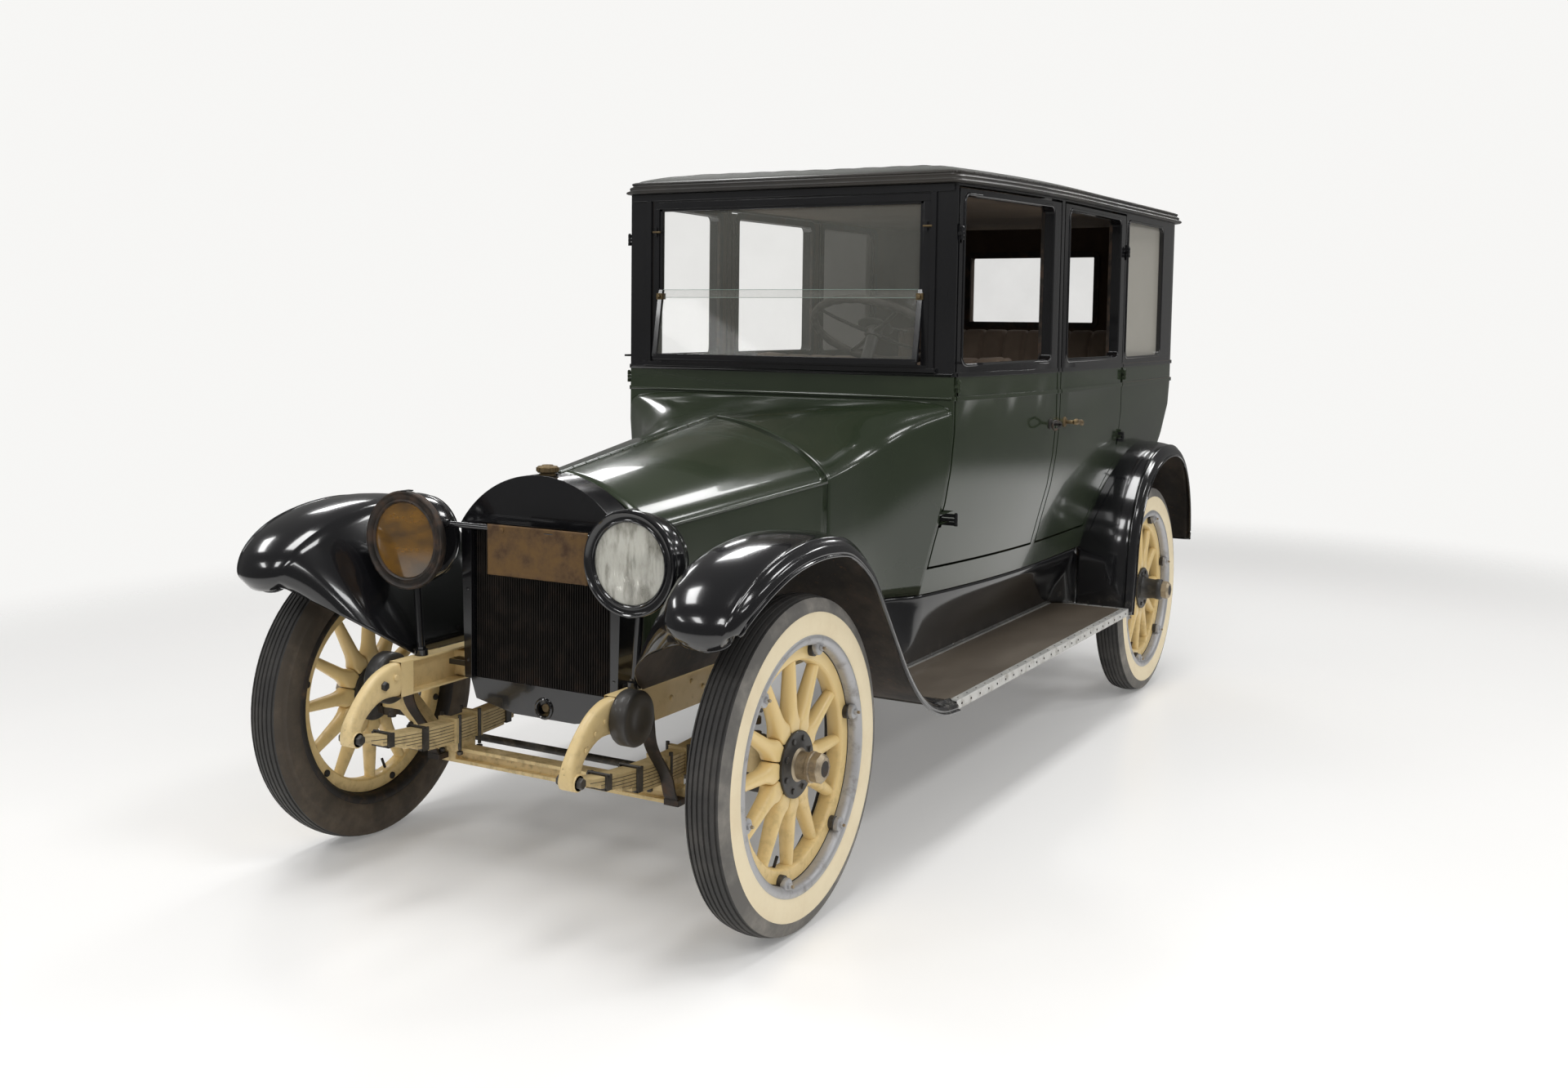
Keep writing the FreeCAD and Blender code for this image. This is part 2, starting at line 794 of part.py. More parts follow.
# Frame, engine and what hangs from them
def rail():
    inner = rail_outer - rail_width
    solid = box(inner, rail_outer, frame_start, frame_rear, rail_bottom, rail_top)
    hollow = box(
        inner - overrun, rail_outer - rail_wall, frame_start + overrun, frame_rear - overrun,
        rail_bottom + rail_wall, rail_top - rail_wall,
    )
    eye_y = front_axle_y - front_spring_half
    tip = dumb_iron_tip
    deep = rail_top - rail_bottom
    top = [(frame_start, rail_top), (between(tip, frame_start, 0.45), rail_top - deep * 0.42),
           (tip, front_spring_eye_height + spring_eye_radius)]
    low = [(tip, front_spring_eye_height - spring_eye_radius),
           (between(tip, frame_start, 0.42), front_spring_eye_height + deep * 0.2), (frame_start, rail_bottom)]

    def curve(points):
        a, b, c = [Vector(inner, y, z) for y, z in points]
        return Part.Arc(a, b, c).toShape()

    wire = Part.Wire([
        curve(top),
        Part.LineSegment(Vector(inner, *top[2]), Vector(inner, *low[0])).toShape(),
        curve(low),
        Part.LineSegment(Vector(inner, *low[2]), Vector(inner, *top[0])).toShape(),
    ])
    horn = Part.Face(wire).extrude(Vector(rail_width, 0, 0))
    eye = Vector(inner - overrun, eye_y, front_spring_eye_height - front_eye_drop)
    saddle = rod(eye, eye + X * (rail_width + 2 * overrun), spring_eye_radius + fit_gap)
    return joined(solid.cut(hollow), horn).cut(saddle)


def cross_member(y, depth):
    half = rail_outer - rail_wall
    return box(-half, half, y, y + depth, rail_bottom + 2 * rail_wall, rail_top - 3 * rail_wall)


def board_bracket(y):
    drop = rod(
        Vector(rail_outer - rail_wall, y, rail_bottom + 4 * rail_wall),
        Vector(rail_outer + 3 * rail_wall, y, board_top - board_thickness - 3 * rail_wall - fit_gap), 2 * rail_wall,
    )
    arm = box(
        rail_outer, board_outer - overrun, y - 3 * rail_wall, y + 3 * rail_wall,
        board_top - board_thickness - 3 * rail_wall, board_top - board_thickness - fit_gap,
    )
    return joined(drop, arm)


def chassis_frame():
    side = rail()
    arms = [board_bracket(between(board_front, board_rear, share)) for share in (0.12, 0.5, 0.9)]
    side = joined(side, *arms, rear_spring_hangers())
    members = [cross_member(radiator_face + radiator_depth, 3 * rail_width / 2)]
    for y, depth in ((cowl_front, 2 * rail_width), (rear_door_start, 2 * rail_width),
                     (rear_axle_y - differential_radius * 3, 2 * rail_width),
                     (frame_rear - 2 * rail_width, 2 * rail_width)):
        members.append(cross_member(y, depth))
    return joined(side, mirrored(side), *members)


def rear_spring_hangers():
    parts = []
    for end in (-1, 1):
        y = rear_axle_y + end * rear_spring_half
        parts.append(rod(Vector(rail_outer - rail_wall, y, rear_spring_eye_height - rail_width / 2),
                         Vector(rear_spring_offset + spring_width / 2, y, rear_spring_eye_height - rail_width / 2),
                         spring_eye_radius / 2))
    return joined(*parts)


def engine_block():
    front = radiator_face + radiator_depth * 2.4
    block = box(-rail_width * 3.6, rail_width * 3.6, front, cowl_front - 2 * overrun,
                rail_bottom - 2 * rail_width, radiator_shoulder)
    gearbox = box(-rail_width * 2.6, rail_width * 2.6, cowl_front - 2 * overrun, body_front,
                  rail_bottom - 2 * rail_width, rail_bottom + rail_wall)
    arm = box(-rail_outer + rail_width + fit_gap, rail_outer - rail_width - fit_gap,
              front + 3 * rail_width, front + 5 * rail_width, rail_bottom + rail_wall, rail_bottom + rail_width)
    return joined(block, gearbox, arm)


def leaf(y_mid, half, eye_z, top_z, drop, offset, ends):
    rise = (eye_z - top_z) * (half * ends / half) ** 2
    length = half * ends
    x = offset - spring_width / 2

    def line(extra):
        return [Vector(x, y_mid - length, top_z + rise - extra), Vector(x, y_mid, top_z - extra),
                Vector(x, y_mid + length, top_z + rise - extra)]

    top, low = line(drop), line(drop + leaf_thickness)
    wire = Part.Wire([
        Part.Arc(*top).toShape(), Part.LineSegment(top[2], low[2]).toShape(),
        Part.Arc(*low[::-1]).toShape(), Part.LineSegment(low[0], top[0]).toShape(),
    ])
    return Part.Face(wire).extrude(Vector(spring_width, 0, 0))


def leaf_pack(y_mid, half, eye_z, top_z, offset, hanger_offset):
    leaves = []
    for i in range(leaf_count):
        ends = 1.0 if i == 0 else 1.0 - 0.62 * i / (leaf_count - 1)
        leaves.append(leaf(y_mid, half, eye_z - hanger_offset, top_z, i * leaf_thickness, offset, ends))
    for end in (-1, 1):
        y = y_mid + end * half
        centre_z = eye_z - leaf_thickness / 2 - hanger_offset
        eye = rod(Vector(offset - spring_width / 2, y, centre_z), Vector(offset + spring_width / 2, y, centre_z),
                  spring_eye_radius)
        bore = rod(Vector(offset - spring_width, y, centre_z), Vector(offset + spring_width, y, centre_z),
                   spring_eye_radius / 2 + running_gap)
        leaves[0] = joined(leaves[0], eye).cut(bore)
    clamp_z = top_z + leaf_thickness
    clamps = [box(offset - spring_width / 2 - leaf_thickness, offset + spring_width / 2 + leaf_thickness,
                  y_mid + s * spring_width - leaf_thickness, y_mid + s * spring_width + leaf_thickness,
                  top_z - leaf_count * leaf_thickness, clamp_z) for s in (-1, 1)]
    return joined(*leaves, *clamps)


# Axles
def front_axle():
    half = kingpin_offset
    top = beam_bottom + beam_height
    boss_low = tyre_radius - kingpin_boss_height / 2
    outline = [
        (-half, boss_low), (-half + 2 * kingpin_boss_radius, boss_low), (-spring_offset - spring_width, beam_bottom),
        (spring_offset + spring_width, beam_bottom), (half - 2 * kingpin_boss_radius, boss_low), (half, boss_low),
        (half, boss_low + kingpin_boss_height), (half - 2 * kingpin_boss_radius, boss_low + kingpin_boss_height),
        (spring_offset + spring_width, top), (-spring_offset - spring_width, top),
        (-half + 2 * kingpin_boss_radius, boss_low + kingpin_boss_height), (-half, boss_low + kingpin_boss_height),
    ]
    y0 = front_axle_y - beam_width / 2
    beam = plate([Vector(x, y0, z) for x, z in outline], Vector(0, beam_width, 0))
    pocket = box(-spring_offset, spring_offset, y0 - overrun, y0 + (beam_width - beam_web) / 2,
                 beam_bottom + beam_flange, top - beam_flange)
    pocket_back = box(-spring_offset, spring_offset, y0 + (beam_width + beam_web) / 2, y0 + beam_width + overrun,
                      beam_bottom + beam_flange, top - beam_flange)
    beam = beam.cut(pocket).cut(pocket_back)
    seat_top = front_spring_top - leaf_count * leaf_thickness - fit_gap
    for side in (-1, 1):
        x = side * spring_offset
        seat = box(x - spring_width / 2, x + spring_width / 2, y0 - beam_flange, y0 + beam_width + beam_flange,
                   top - beam_flange, seat_top)
        boss = Part.makeCylinder(kingpin_boss_radius, kingpin_boss_height, Vector(side * half, front_axle_y, boss_low))
        trim = Part.makeCylinder(kingpin_radius + running_gap, kingpin_boss_height + 2 * overrun,
                                 Vector(side * half, front_axle_y, boss_low - overrun))
        beam = joined(beam, seat, boss).cut(trim)
    return beam


axle_casing_shares = ((0.0, 1.0), (0.45, 0.92), (0.8, 0.68), (1.15, 0.48), (2.0, 0.0))


def rear_axle():
    end = half_track - hub_inner - drum_width
    casing = [(x * differential_radius, between(rear_tube_radius, differential_radius, r)) for x, r in axle_casing_shares]
    tip = half_track + hub_nose_rear * 0.6
    right = casing + [
        (end, rear_tube_radius), (end, drum_radius - beam_flange),
        (end + beam_flange, drum_radius - beam_flange), (end + beam_flange, spindle_radius), (tip, spindle_radius), (tip, 0.0),
    ]
    left = [(-x, r) for x, r in right[:0:-1]]
    whole = turned(left + right)
    whole.translate(Vector(0, rear_axle_y, tyre_radius))
    torque = rod(
        Vector(0, rear_axle_y, tyre_radius), Vector(0, body_front, rail_bottom - rail_width), torque_tube_radius,
    )
    seats = [box(x - spring_width / 2, x + spring_width / 2, rear_axle_y - spring_width, rear_axle_y + spring_width,
                 tyre_radius, rear_spring_top - leaf_count * leaf_thickness - fit_gap)
             for x in (-rear_spring_offset, rear_spring_offset)]
    gearbox_end = box(
        -differential_radius, differential_radius, body_front - overrun, body_front + fit_gap, 0.0, rail_top,
    )
    return joined(whole, torque.cut(gearbox_end), *seats)


def knuckle():
    low = tyre_radius - kingpin_boss_height / 2
    high = low + kingpin_boss_height
    gap = fit_gap
    pin_base = Vector(kingpin_offset, front_axle_y, low - 3 * beam_flange)
    pin = Part.makeCylinder(kingpin_radius, kingpin_boss_height + 6 * beam_flange, pin_base)
    top_fork = Part.makeCylinder(kingpin_boss_radius, 2 * beam_flange, Vector(kingpin_offset, front_axle_y, high + gap))
    low_fork = Part.makeCylinder(kingpin_boss_radius, 2 * beam_flange,
                                 Vector(kingpin_offset, front_axle_y, low - gap - 2 * beam_flange))
    clear = kingpin_offset + kingpin_boss_radius + gap
    cheek = half_track - hub_inner - gap - door_gap
    web = box(clear + gap, cheek, front_axle_y - kingpin_boss_radius * 0.7, front_axle_y + kingpin_boss_radius * 0.7,
              low - gap - 2 * beam_flange, high + gap + 2 * beam_flange)
    arms = [box(kingpin_offset, cheek, front_axle_y - kingpin_boss_radius * 0.7, front_axle_y + kingpin_boss_radius * 0.7, z,
                z + 2 * beam_flange) for z in (high + gap, low - gap - 2 * beam_flange)]
    spindle = rod(Vector(clear + gap, front_axle_y, tyre_radius),
                  Vector(half_track + hub_nose_front * 0.6, front_axle_y, tyre_radius), spindle_radius)
    arm_start = Vector(kingpin_offset, front_axle_y, low - gap - beam_flange)
    arm_end = Vector(kingpin_offset, front_axle_y + steering_arm, tie_rod_height + 3 * tie_rod_radius)
    arm = rod(arm_start, arm_end, beam_flange)
    eye = Part.makeCylinder(beam_flange, beam_flange, arm_end - Z * beam_flange / 2)
    ball = Part.makeCylinder(tie_rod_radius / 2, 4 * tie_rod_radius, arm_end - Z * 4 * tie_rod_radius)
    return joined(pin, top_fork, low_fork, web, *arms, spindle, arm, eye, ball)


def tie_rod():
    y = front_axle_y + steering_arm
    bar = rod(Vector(-kingpin_offset, y, tie_rod_height), Vector(kingpin_offset, y, tie_rod_height), tie_rod_radius)
    for side in (-1, 1):
        base = Vector(side * kingpin_offset, y, tie_rod_height - 1.5 * tie_rod_radius)
        eye = Part.makeCylinder(1.8 * tie_rod_radius, 3 * tie_rod_radius, base)
        bore = Part.makeCylinder(tie_rod_radius / 2 + fit_gap, 8 * tie_rod_radius, base - Z * 2 * tie_rod_radius)
        bar = joined(bar, eye).cut(bore)
    return bar


# Wheels are made about the origin, outboard towards +X

def tyre():
    half = tyre_width / 2
    tread = half - tyre_shoulder
    return turned([
        (-tread, tyre_radius), (tread, tyre_radius), (half, tyre_radius - tyre_shoulder), (half, rim_radius),
        (-half, rim_radius), (-half, tyre_radius - tyre_shoulder),
    ])


def rim_ring():
    felloe_half = spoke_thickness / 2
    channel = rim_radius - rim_thickness
    return turned([
        (-felloe_half, felloe_inner), (felloe_half, felloe_inner), (felloe_half, channel),
        (rim_half_width, channel), (rim_half_width, rim_radius - fit_gap), (-rim_half_width, rim_radius - fit_gap),
        (-rim_half_width, channel), (-felloe_half, channel),
    ])


def spoke():
    def station(r, width, thickness):
        a, b = width / 2, thickness / 2
        c = spoke_chamfer
        corners = [(-a, c - b), (c - a, -b), (a - c, -b), (a, c - b), (a, b - c), (a - c, b), (c - a, b), (-a, b - c)]
        return [Vector(x, y, r) for y, x in corners]

    return skinned([
        station(nave_radius - door_gap, spoke_root_width, spoke_thickness - door_gap),
        station(felloe_inner + door_gap / 2, spoke_tip_width, spoke_tip_thickness),
    ])


def wheel(nose, driven):
    nave = rod(Vector(-spoke_thickness / 2, 0, 0), Vector(spoke_thickness / 2, 0, 0), nave_radius)
    flange_out = spoke_thickness / 2 + hub_flange_thickness
    flanges = rod(Vector(-flange_out, 0, 0), Vector(flange_out, 0, 0), hub_flange_radius)
    barrel = rod(Vector(-hub_inner, 0, 0), Vector(nose * 0.75, 0, 0), hub_radius)
    nut_outline = [Vector(nose * 0.72, nut_radius * math.cos(math.radians(a)), nut_radius * math.sin(math.radians(a)))
                   for a in range(0, 360, 60)]
    nut = plate(nut_outline, Vector(nose * 0.28, 0, 0))
    parts = [nave, flanges, barrel, nut, rim_ring()]
    one = spoke()
    for i in range(spoke_count):
        turned_spoke = one.copy()
        turned_spoke.rotate(Vector(), X, 360.0 * i / spoke_count)
        parts.append(turned_spoke)
    for i in range(lug_count):
        angle = math.radians(360.0 * (i + 0.25) / lug_count)
        r = between(felloe_inner, felloe_outer, 0.72)
        base = Vector(spoke_thickness / 2 - fit_gap, r * math.cos(angle), r * math.sin(angle))
        parts.append(hexagon(base, lug_radius, X * (rim_half_width - spoke_thickness / 2 + lug_height)))
    if driven:
        parts.append(rod(Vector(-hub_inner - drum_width + door_gap, 0, 0), Vector(-spoke_thickness / 2, 0, 0), drum_radius))
    whole = joined(*parts)
    if driven:
        whole = whole.cut(rod(Vector(-hub_inner - drum_width, 0, 0), Vector(-hub_inner, 0, 0), drum_radius - beam_flange + fit_gap * 6))
    bore_end = nose * 0.62
    return whole.cut(rod(Vector(-hub_inner - overrun, 0, 0), Vector(bore_end, 0, 0), spindle_radius + running_gap))


def placed(shape, side, axle_y):
    moved = shape.copy()
    moved.translate(Vector(half_track, axle_y, tyre_radius))
    return mirrored(moved) if side < 0 else moved


# Lamps, plate and small fittings
def headlamp():
    shoulder = lamp_face + lamp_depth * lamp_drum_share
    back = lamp_face + lamp_depth
    cavity = lamp_face + lamp_depth * lamp_cavity_share
    profile = [
        (lamp_face, lamp_glass_radius), (lamp_face, lamp_radius), (lamp_face + lamp_rim_width, lamp_radius),
        (lamp_face + lamp_rim_width, lamp_drum_radius), (shoulder, lamp_drum_radius),
        (back, lamp_drum_radius * lamp_back_share), (back, 0.0), (cavity, 0.0), (cavity, lamp_glass_radius),
    ]
    points = [Vector(0, y, r) for y, r in profile]
    shell = Part.Face(Part.makePolygon(points + points[:1])).revolve(Vector(), Y, 360)
    shell.translate(Vector(lamp_offset, 0, lamp_height))
    return shell


def lamp_glass():
    y = lamp_face + door_gap
    return rod(Vector(lamp_offset, y, lamp_height), Vector(lamp_offset, y + glass_thickness, lamp_height),
               lamp_glass_radius - fit_gap)


def lamp_bar():
    y = lamp_face + lamp_depth * 0.2
    bar = rod(Vector(-lamp_offset, y, bar_height), Vector(lamp_offset, y, bar_height), bar_radius)
    for side in (-1, 1):
        bar = bar.cut(rod(Vector(side * lamp_offset, lamp_face, lamp_height),
                          Vector(side * lamp_offset, lamp_face + lamp_depth, lamp_height), lamp_drum_radius + fit_gap))
    foot_y = radiator_face - fit_gap
    post_y = lamp_face + lamp_depth * (lamp_drum_share - lamp_post_share)
    post_low = Vector(rail_outer - rail_width / 2, post_y, rail_top + fit_gap)
    post_high = Vector(lamp_offset, post_y, lamp_height - lamp_drum_radius - 4 * fit_gap)
    post = joined(rod(post_low + Z * bar_radius, post_high, bar_radius * 1.4),
                  rod(post_low, post_low + Z * 2 * bar_radius, bar_radius * 2.4))
    stay_x = radiator_half_width * 0.75
    stay = rod(Vector(stay_x, y, bar_height), Vector(stay_x, foot_y, bar_height), bar_radius * 0.8)
    return joined(bar, stay, mirrored(stay), post, mirrored(post))


def number_plate():
    y = lamp_face + lamp_depth * 0.2 - bar_radius - fit_gap
    return box(plate_left, plate_right, y - plate_thickness, y, plate_bottom, plate_top)


def snubber():
    y, z = frame_start + drum_snub_radius * 0.3, rail_bottom + drum_snub_radius * 0.6
    drum = rod(Vector(rail_outer + fit_gap, y, z), Vector(rail_outer + drum_snub_width, y, z), drum_snub_radius)
    x = rail_outer + drum_snub_width * 0.5
    strap_low = Vector(x, front_axle_y - beam_width, beam_bottom + beam_height * 0.6)
    strap = rod(Vector(x, y + drum_snub_radius * 0.9, z), strap_low, strap_radius)
    lug = rod(strap_low, Vector(x, front_axle_y - beam_width / 2 - fit_gap, beam_bottom + beam_height * 0.6), strap_radius)
    return joined(drum, strap, lug)


def windscreen_frame():
    half = screen_half_width - fit_gap
    y0 = body_front + fit_gap
    outer = box(-half, half, y0, y0 + screen_depth, screen_bottom + fit_gap, screen_top - fit_gap)
    inner = box(-half + screen_rail, half - screen_rail, y0 - overrun, y0 + screen_depth + overrun,
                screen_bottom + screen_rail, screen_top - screen_rail)
    return outer.cut(inner)


def glazing():
    half = screen_half_width - screen_rail - fit_gap
    y = body_front + screen_depth / 2
    upper = box(-half, half, y, y + glass_thickness, screen_split, screen_top - screen_rail - fit_gap)
    low = screen_bottom + screen_rail + 2 * glass_thickness
    lower = plate([
        Vector(-half, y, screen_split - glass_thickness), Vector(-half, y + glass_thickness, screen_split - glass_thickness),
        Vector(-half, y + glass_thickness - lower_pane_kick, low), Vector(-half, y - lower_pane_kick, low),
    ], Vector(2 * half, 0, 0))
    pane_x = between(body_half_width, body_rear_half_width, 0.4) - body_wall / 2
    quarter = box(pane_x - glass_thickness, pane_x, quarter_window_start + fit_gap,
                  quarter_window_end - fit_gap, window_sill + fit_gap, window_top - fit_gap)
    quarter = quarter.makeFillet(window_corner_radius, [e for e in quarter.Edges
                                                   if abs(e.Vertexes[0].Point.x - e.Vertexes[-1].Point.x) > glass_thickness / 2])
    rear_y = body_rear - body_wall / 2
    rear = box(-back_window_half_width + fit_gap, back_window_half_width - fit_gap, rear_y - glass_thickness, rear_y,
               back_window_bottom + fit_gap, back_window_top - fit_gap)
    return Part.makeCompound([upper, lower, quarter, mirrored(quarter), rear])


# Cabin furniture


def front_seat_frame():
    base = box(-seat_base_half, seat_base_half, front_seat_start, front_seat_end, sill_height, front_cushion_bottom - fit_gap)
    hollow = box(-seat_base_half + seat_wall, seat_base_half - seat_wall, front_seat_start + seat_wall,
                 front_seat_end - seat_wall, sill_height - overrun, front_cushion_bottom - seat_wall)
    back = box(-cushion_half, cushion_half, front_seat_end - seat_wall, front_seat_end, front_cushion_bottom - seat_wall,
               front_back_top - overrun)
    rear_base = box(-seat_base_half, seat_base_half, rear_seat_start, rear_seat_start + seat_wall, sill_height,
                    front_cushion_bottom - fit_gap)
    rear_lid = box(-cushion_half, cushion_half, rear_seat_start, body_rear - rear_tuck - 2 * body_wall,
                   front_cushion_bottom - seat_wall, front_cushion_bottom - fit_gap)
    return Part.makeCompound([joined(base.cut(hollow), back), joined(rear_base, rear_lid)])


def seat_pad(x, y0, y1, z0, z1, lean):
    return plate([Vector(-x, y0, z0), Vector(-x, y1, z0), Vector(-x, y1 + lean, z1), Vector(-x, y0 + lean, z1)],
                 Vector(2 * x, 0, 0))


def front_cushions():
    cushion = box(-cushion_half, cushion_half, front_seat_start, front_seat_end - back_thickness - seat_wall - 2 * fit_gap,
                  front_cushion_bottom, front_cushion_bottom + cushion_height)
    back = box(-cushion_half, cushion_half, front_seat_end - back_thickness - seat_wall, front_seat_end - seat_wall - fit_gap,
               front_cushion_bottom + fit_gap, front_back_top)
    return Part.makeCompound([cushion, back])


def rear_cushions():
    back_foot = body_rear - rear_tuck - 2 * back_thickness
    cushion = box(-cushion_half, cushion_half, rear_seat_start, back_foot - fit_gap, front_cushion_bottom,
                  front_cushion_bottom + cushion_height)
    back = seat_pad(cushion_half, back_foot, back_foot + back_thickness, front_cushion_bottom + fit_gap, rear_back_top,
                    back_thickness)
    return Part.makeCompound([cushion, back])


def dashboard():
    y = body_front + body_wall + fit_gap
    board = box(-screen_half_width, screen_half_width, y, y + seat_wall, belt_height - 2 * body_wall, screen_bottom - fit_gap)
    return board.cut(column(column_radius + fit_gap))


def column_line():
    lean = math.radians(column_lean_deg)
    return Vector(0, math.sin(lean), math.cos(lean))


def column(radius):
    top = Vector(steering_x, steering_y, steering_z)
    line = column_line()
    return rod(top - line * column_length, top - line * (2 * steering_rim_tube), radius)


def hand_lever(x, reach, height, radius):
    foot = Vector(x, body_front + lever_reach, sill_height)
    top = foot + Vector(0, reach, height)
    boot = Part.makeCone(lever_boot_radius, radius, lever_boot_radius, foot)
    return joined(boot, rod(foot + Z * lever_boot_radius / 2, top, radius), rod(top - Z * 2 * radius, top + Z * 2 * radius, radius * 2))


def driver_controls():
    gear = hand_lever(0.0, lever_reach * 1.5, lever_height, strap_radius * 1.5)
    brake = hand_lever(lever_reach, lever_reach, lever_height * 0.8, strap_radius)
    return Part.makeCompound([column(column_radius), gear, brake])


def steering_wheel():
    centre = Vector(steering_x, steering_y, steering_z)
    line = column_line()
    ring = [Vector(0, steering_rim_radius + steering_rim_tube * math.cos(math.radians(a)),
                   steering_rim_tube * math.sin(math.radians(a))) for a in range(0, 360, 60)]
    rim = Part.Face(Part.makePolygon(ring + ring[:1])).revolve(Vector(), Z, 360)
    rim.Placement = FreeCAD.Placement(centre, FreeCAD.Rotation(Z, line))
    hub = rod(centre - line * (2 * steering_rim_tube - fit_gap), centre + line * steering_rim_tube, column_radius * 1.4)
    across = X
    up = line.cross(X)
    arms = []
    for i in range(2):
        way = across * math.cos(math.radians(45 + 90 * i)) + up * math.sin(math.radians(45 + 90 * i))
        arms.append(rod(centre - way * steering_rim_radius, centre + way * steering_rim_radius, steering_rim_tube * 0.6))
    return joined(rim, hub, *arms)


# Underside and tail


def exhaust():
    z = rail_bottom - muffler_radius - fit_gap
    pipe = rod(Vector(exhaust_x, cowl_front, z), Vector(exhaust_x, rear_axle_y - differential_radius * 2, z), pipe_radius)
    can = rod(Vector(exhaust_x, between(body_front, rear_door_start, 0.6), z), Vector(exhaust_x, rear_door_end - 4 * overrun, z), muffler_radius)
    straps = [box(exhaust_x - pipe_radius, exhaust_x + pipe_radius, y, y + overrun, z, rail_bottom + 2 * rail_wall - fit_gap)
              for y in (rear_door_start + overrun / 2,)]
    return joined(pipe, can, *straps)


def fuel_tank():
    z = rail_bottom - tank_radius - fit_gap
    y = frame_rear - tank_radius
    return rod(Vector(-tank_half, y, z), Vector(tank_half, y, z), tank_radius)


def spare_wheel_y():
    return body_rear + tyre_width / 2 + spare_gap


def spare_tyre():
    shape = tyre()
    ring = turned([
        (-rim_half_width, felloe_outer), (rim_half_width, felloe_outer), (rim_half_width, rim_radius - fit_gap),
        (-rim_half_width, rim_radius - fit_gap),
    ])
    both = Part.makeCompound([shape, ring])
    both.rotate(Vector(), Z, 90)
    both.translate(Vector(0, spare_wheel_y(), spare_height))
    return both


def spare_carrier():
    y = spare_wheel_y()
    foot_y = frame_rear + fit_gap
    back = y - tyre_width / 2 - fit_gap
    low, high = rail_bottom + rail_wall, rail_top - rail_wall
    half = rail_width / 4
    x = rail_outer * carrier_arm_share
    drop = math.sqrt((felloe_outer - fit_gap - half) ** 2 - x ** 2)
    parts = [box(-rail_outer, rail_outer, foot_y, foot_y + rail_width, low, high)]
    for side in (-1, 1):
        x0, x1 = side * x - half, side * x + half
        parts.append(box(x0, x1, foot_y, back, low, high))
        parts.append(box(x0, x1, back - 2 * half, back, low, spare_height + drop))
        for z in (spare_height - drop, spare_height + drop - 2 * half):
            parts.append(box(x0, x1, back - half, y, z, z + 2 * half))
    outer = felloe_outer - fit_gap
    ring = turned([(-rail_width / 2, outer - 2 * half), (rail_width / 2, outer - 2 * half), (rail_width / 2, outer),
                   (-rail_width / 2, outer)])
    ring.rotate(Vector(), Z, 90)
    ring.translate(Vector(0, y, spare_height))
    return joined(*parts, ring)


def tail_lamp():
    x, y = rail_outer - rail_width / 2, frame_rear - rail_width
    foot = Vector(x, y, rail_top + fit_gap)
    centre = foot + Vector(2 * rail_width, 0, 1.5 * rail_width)
    knee = Vector(x, y, centre.z)
    return joined(
        rod(foot, knee + Z * bar_radius, bar_radius), rod(knee, centre, bar_radius * 0.8),
        rod(centre - Y * rail_width / 2, centre + Y * rail_width, tail_lamp_radius),
    )


# Every piece by name, then moved so that the origin is under the middle of the car's length
hollow_body = body_volume(0.0, body_front, 0.0).cut(body_volume(body_wall, body_front + body_wall, overrun))
hollow_body = joined(hollow_body, belt_moulding(belt_height), belt_moulding(window_sill - body_wall))
nodes["chassis_frame"] = chassis_frame()
nodes["engine_block"] = engine_block()
front_pack = leaf_pack(
    front_axle_y, front_spring_half, front_spring_eye_height, front_spring_top, spring_offset,
    front_eye_drop - leaf_thickness / 2,
)
rear_pack = leaf_pack(
    rear_axle_y, rear_spring_half, rear_spring_eye_height, rear_spring_top, rear_spring_offset,
    rail_width / 2 - leaf_thickness / 2,
)
nodes["leaf_springs"] = Part.makeCompound([front_pack, mirrored(front_pack), rear_pack, mirrored(rear_pack)])
nodes["front_axle"] = front_axle()
nodes["rear_axle"] = rear_axle()
nodes["radiator_shell"] = radiator_shell()
nodes["radiator_core"] = radiator_core()
nodes["lamp_bar"] = lamp_bar()
nodes["headlamps"] = both_sides(headlamp())
nodes["headlamp_lenses"] = both_sides(lamp_glass())
nodes["number_plate"] = number_plate()
nodes["snubbers"] = both_sides(snubber())
nodes["cowl"] = joined(cowl(), bonnet_hinge())
left_ledge = bonnet_ledge()
shell_of_bonnet = bonnet_shell()
nodes["bonnet_left"] = bonnet_half(shell_of_bonnet)
nodes["bonnet_right"] = mirrored(nodes["bonnet_left"])
nodes["body_shell"] = body_shell(hollow_body)
nodes["door_front_left"] = door(
    hollow_body, front_door_start, front_door_end, front_window_start, front_window_end, False, front_hinge_heights,
)
nodes["door_rear_left"] = door(
    hollow_body, rear_door_start, rear_door_end, rear_window_start, rear_window_end, True, rear_hinge_heights,
)
nodes["door_front_right"] = mirrored(nodes["door_front_left"])
nodes["door_rear_right"] = mirrored(nodes["door_rear_left"])
nodes["roof"] = roof()
nodes["floor"] = floor()
nodes["windscreen_frame"] = windscreen_frame()
nodes["window_glass"] = glazing()
nodes["front_fenders"] = both_sides(front_fender())
nodes["rear_fenders"] = both_sides(rear_fender())
nodes["running_boards"] = both_sides(box(
    board_inner, board_outer, board_front, board_rear, board_top - board_thickness, board_top,
))
side_apron = box(
    board_inner - fit_gap - valance_plate, board_inner - fit_gap, board_front, board_rear,
    board_top - board_thickness, rail_top - fit_gap,
)
nodes["splash_aprons"] = Part.makeCompound([side_apron, mirrored(side_apron), left_ledge, mirrored(left_ledge)])
nodes["seat_frames"] = front_seat_frame()
nodes["seat_cushions"] = Part.makeCompound([front_cushions(), rear_cushions()])
nodes["dashboard"] = dashboard()
nodes["driver_controls"] = driver_controls()
nodes["steering_wheel"] = steering_wheel()
nodes["exhaust"] = exhaust()
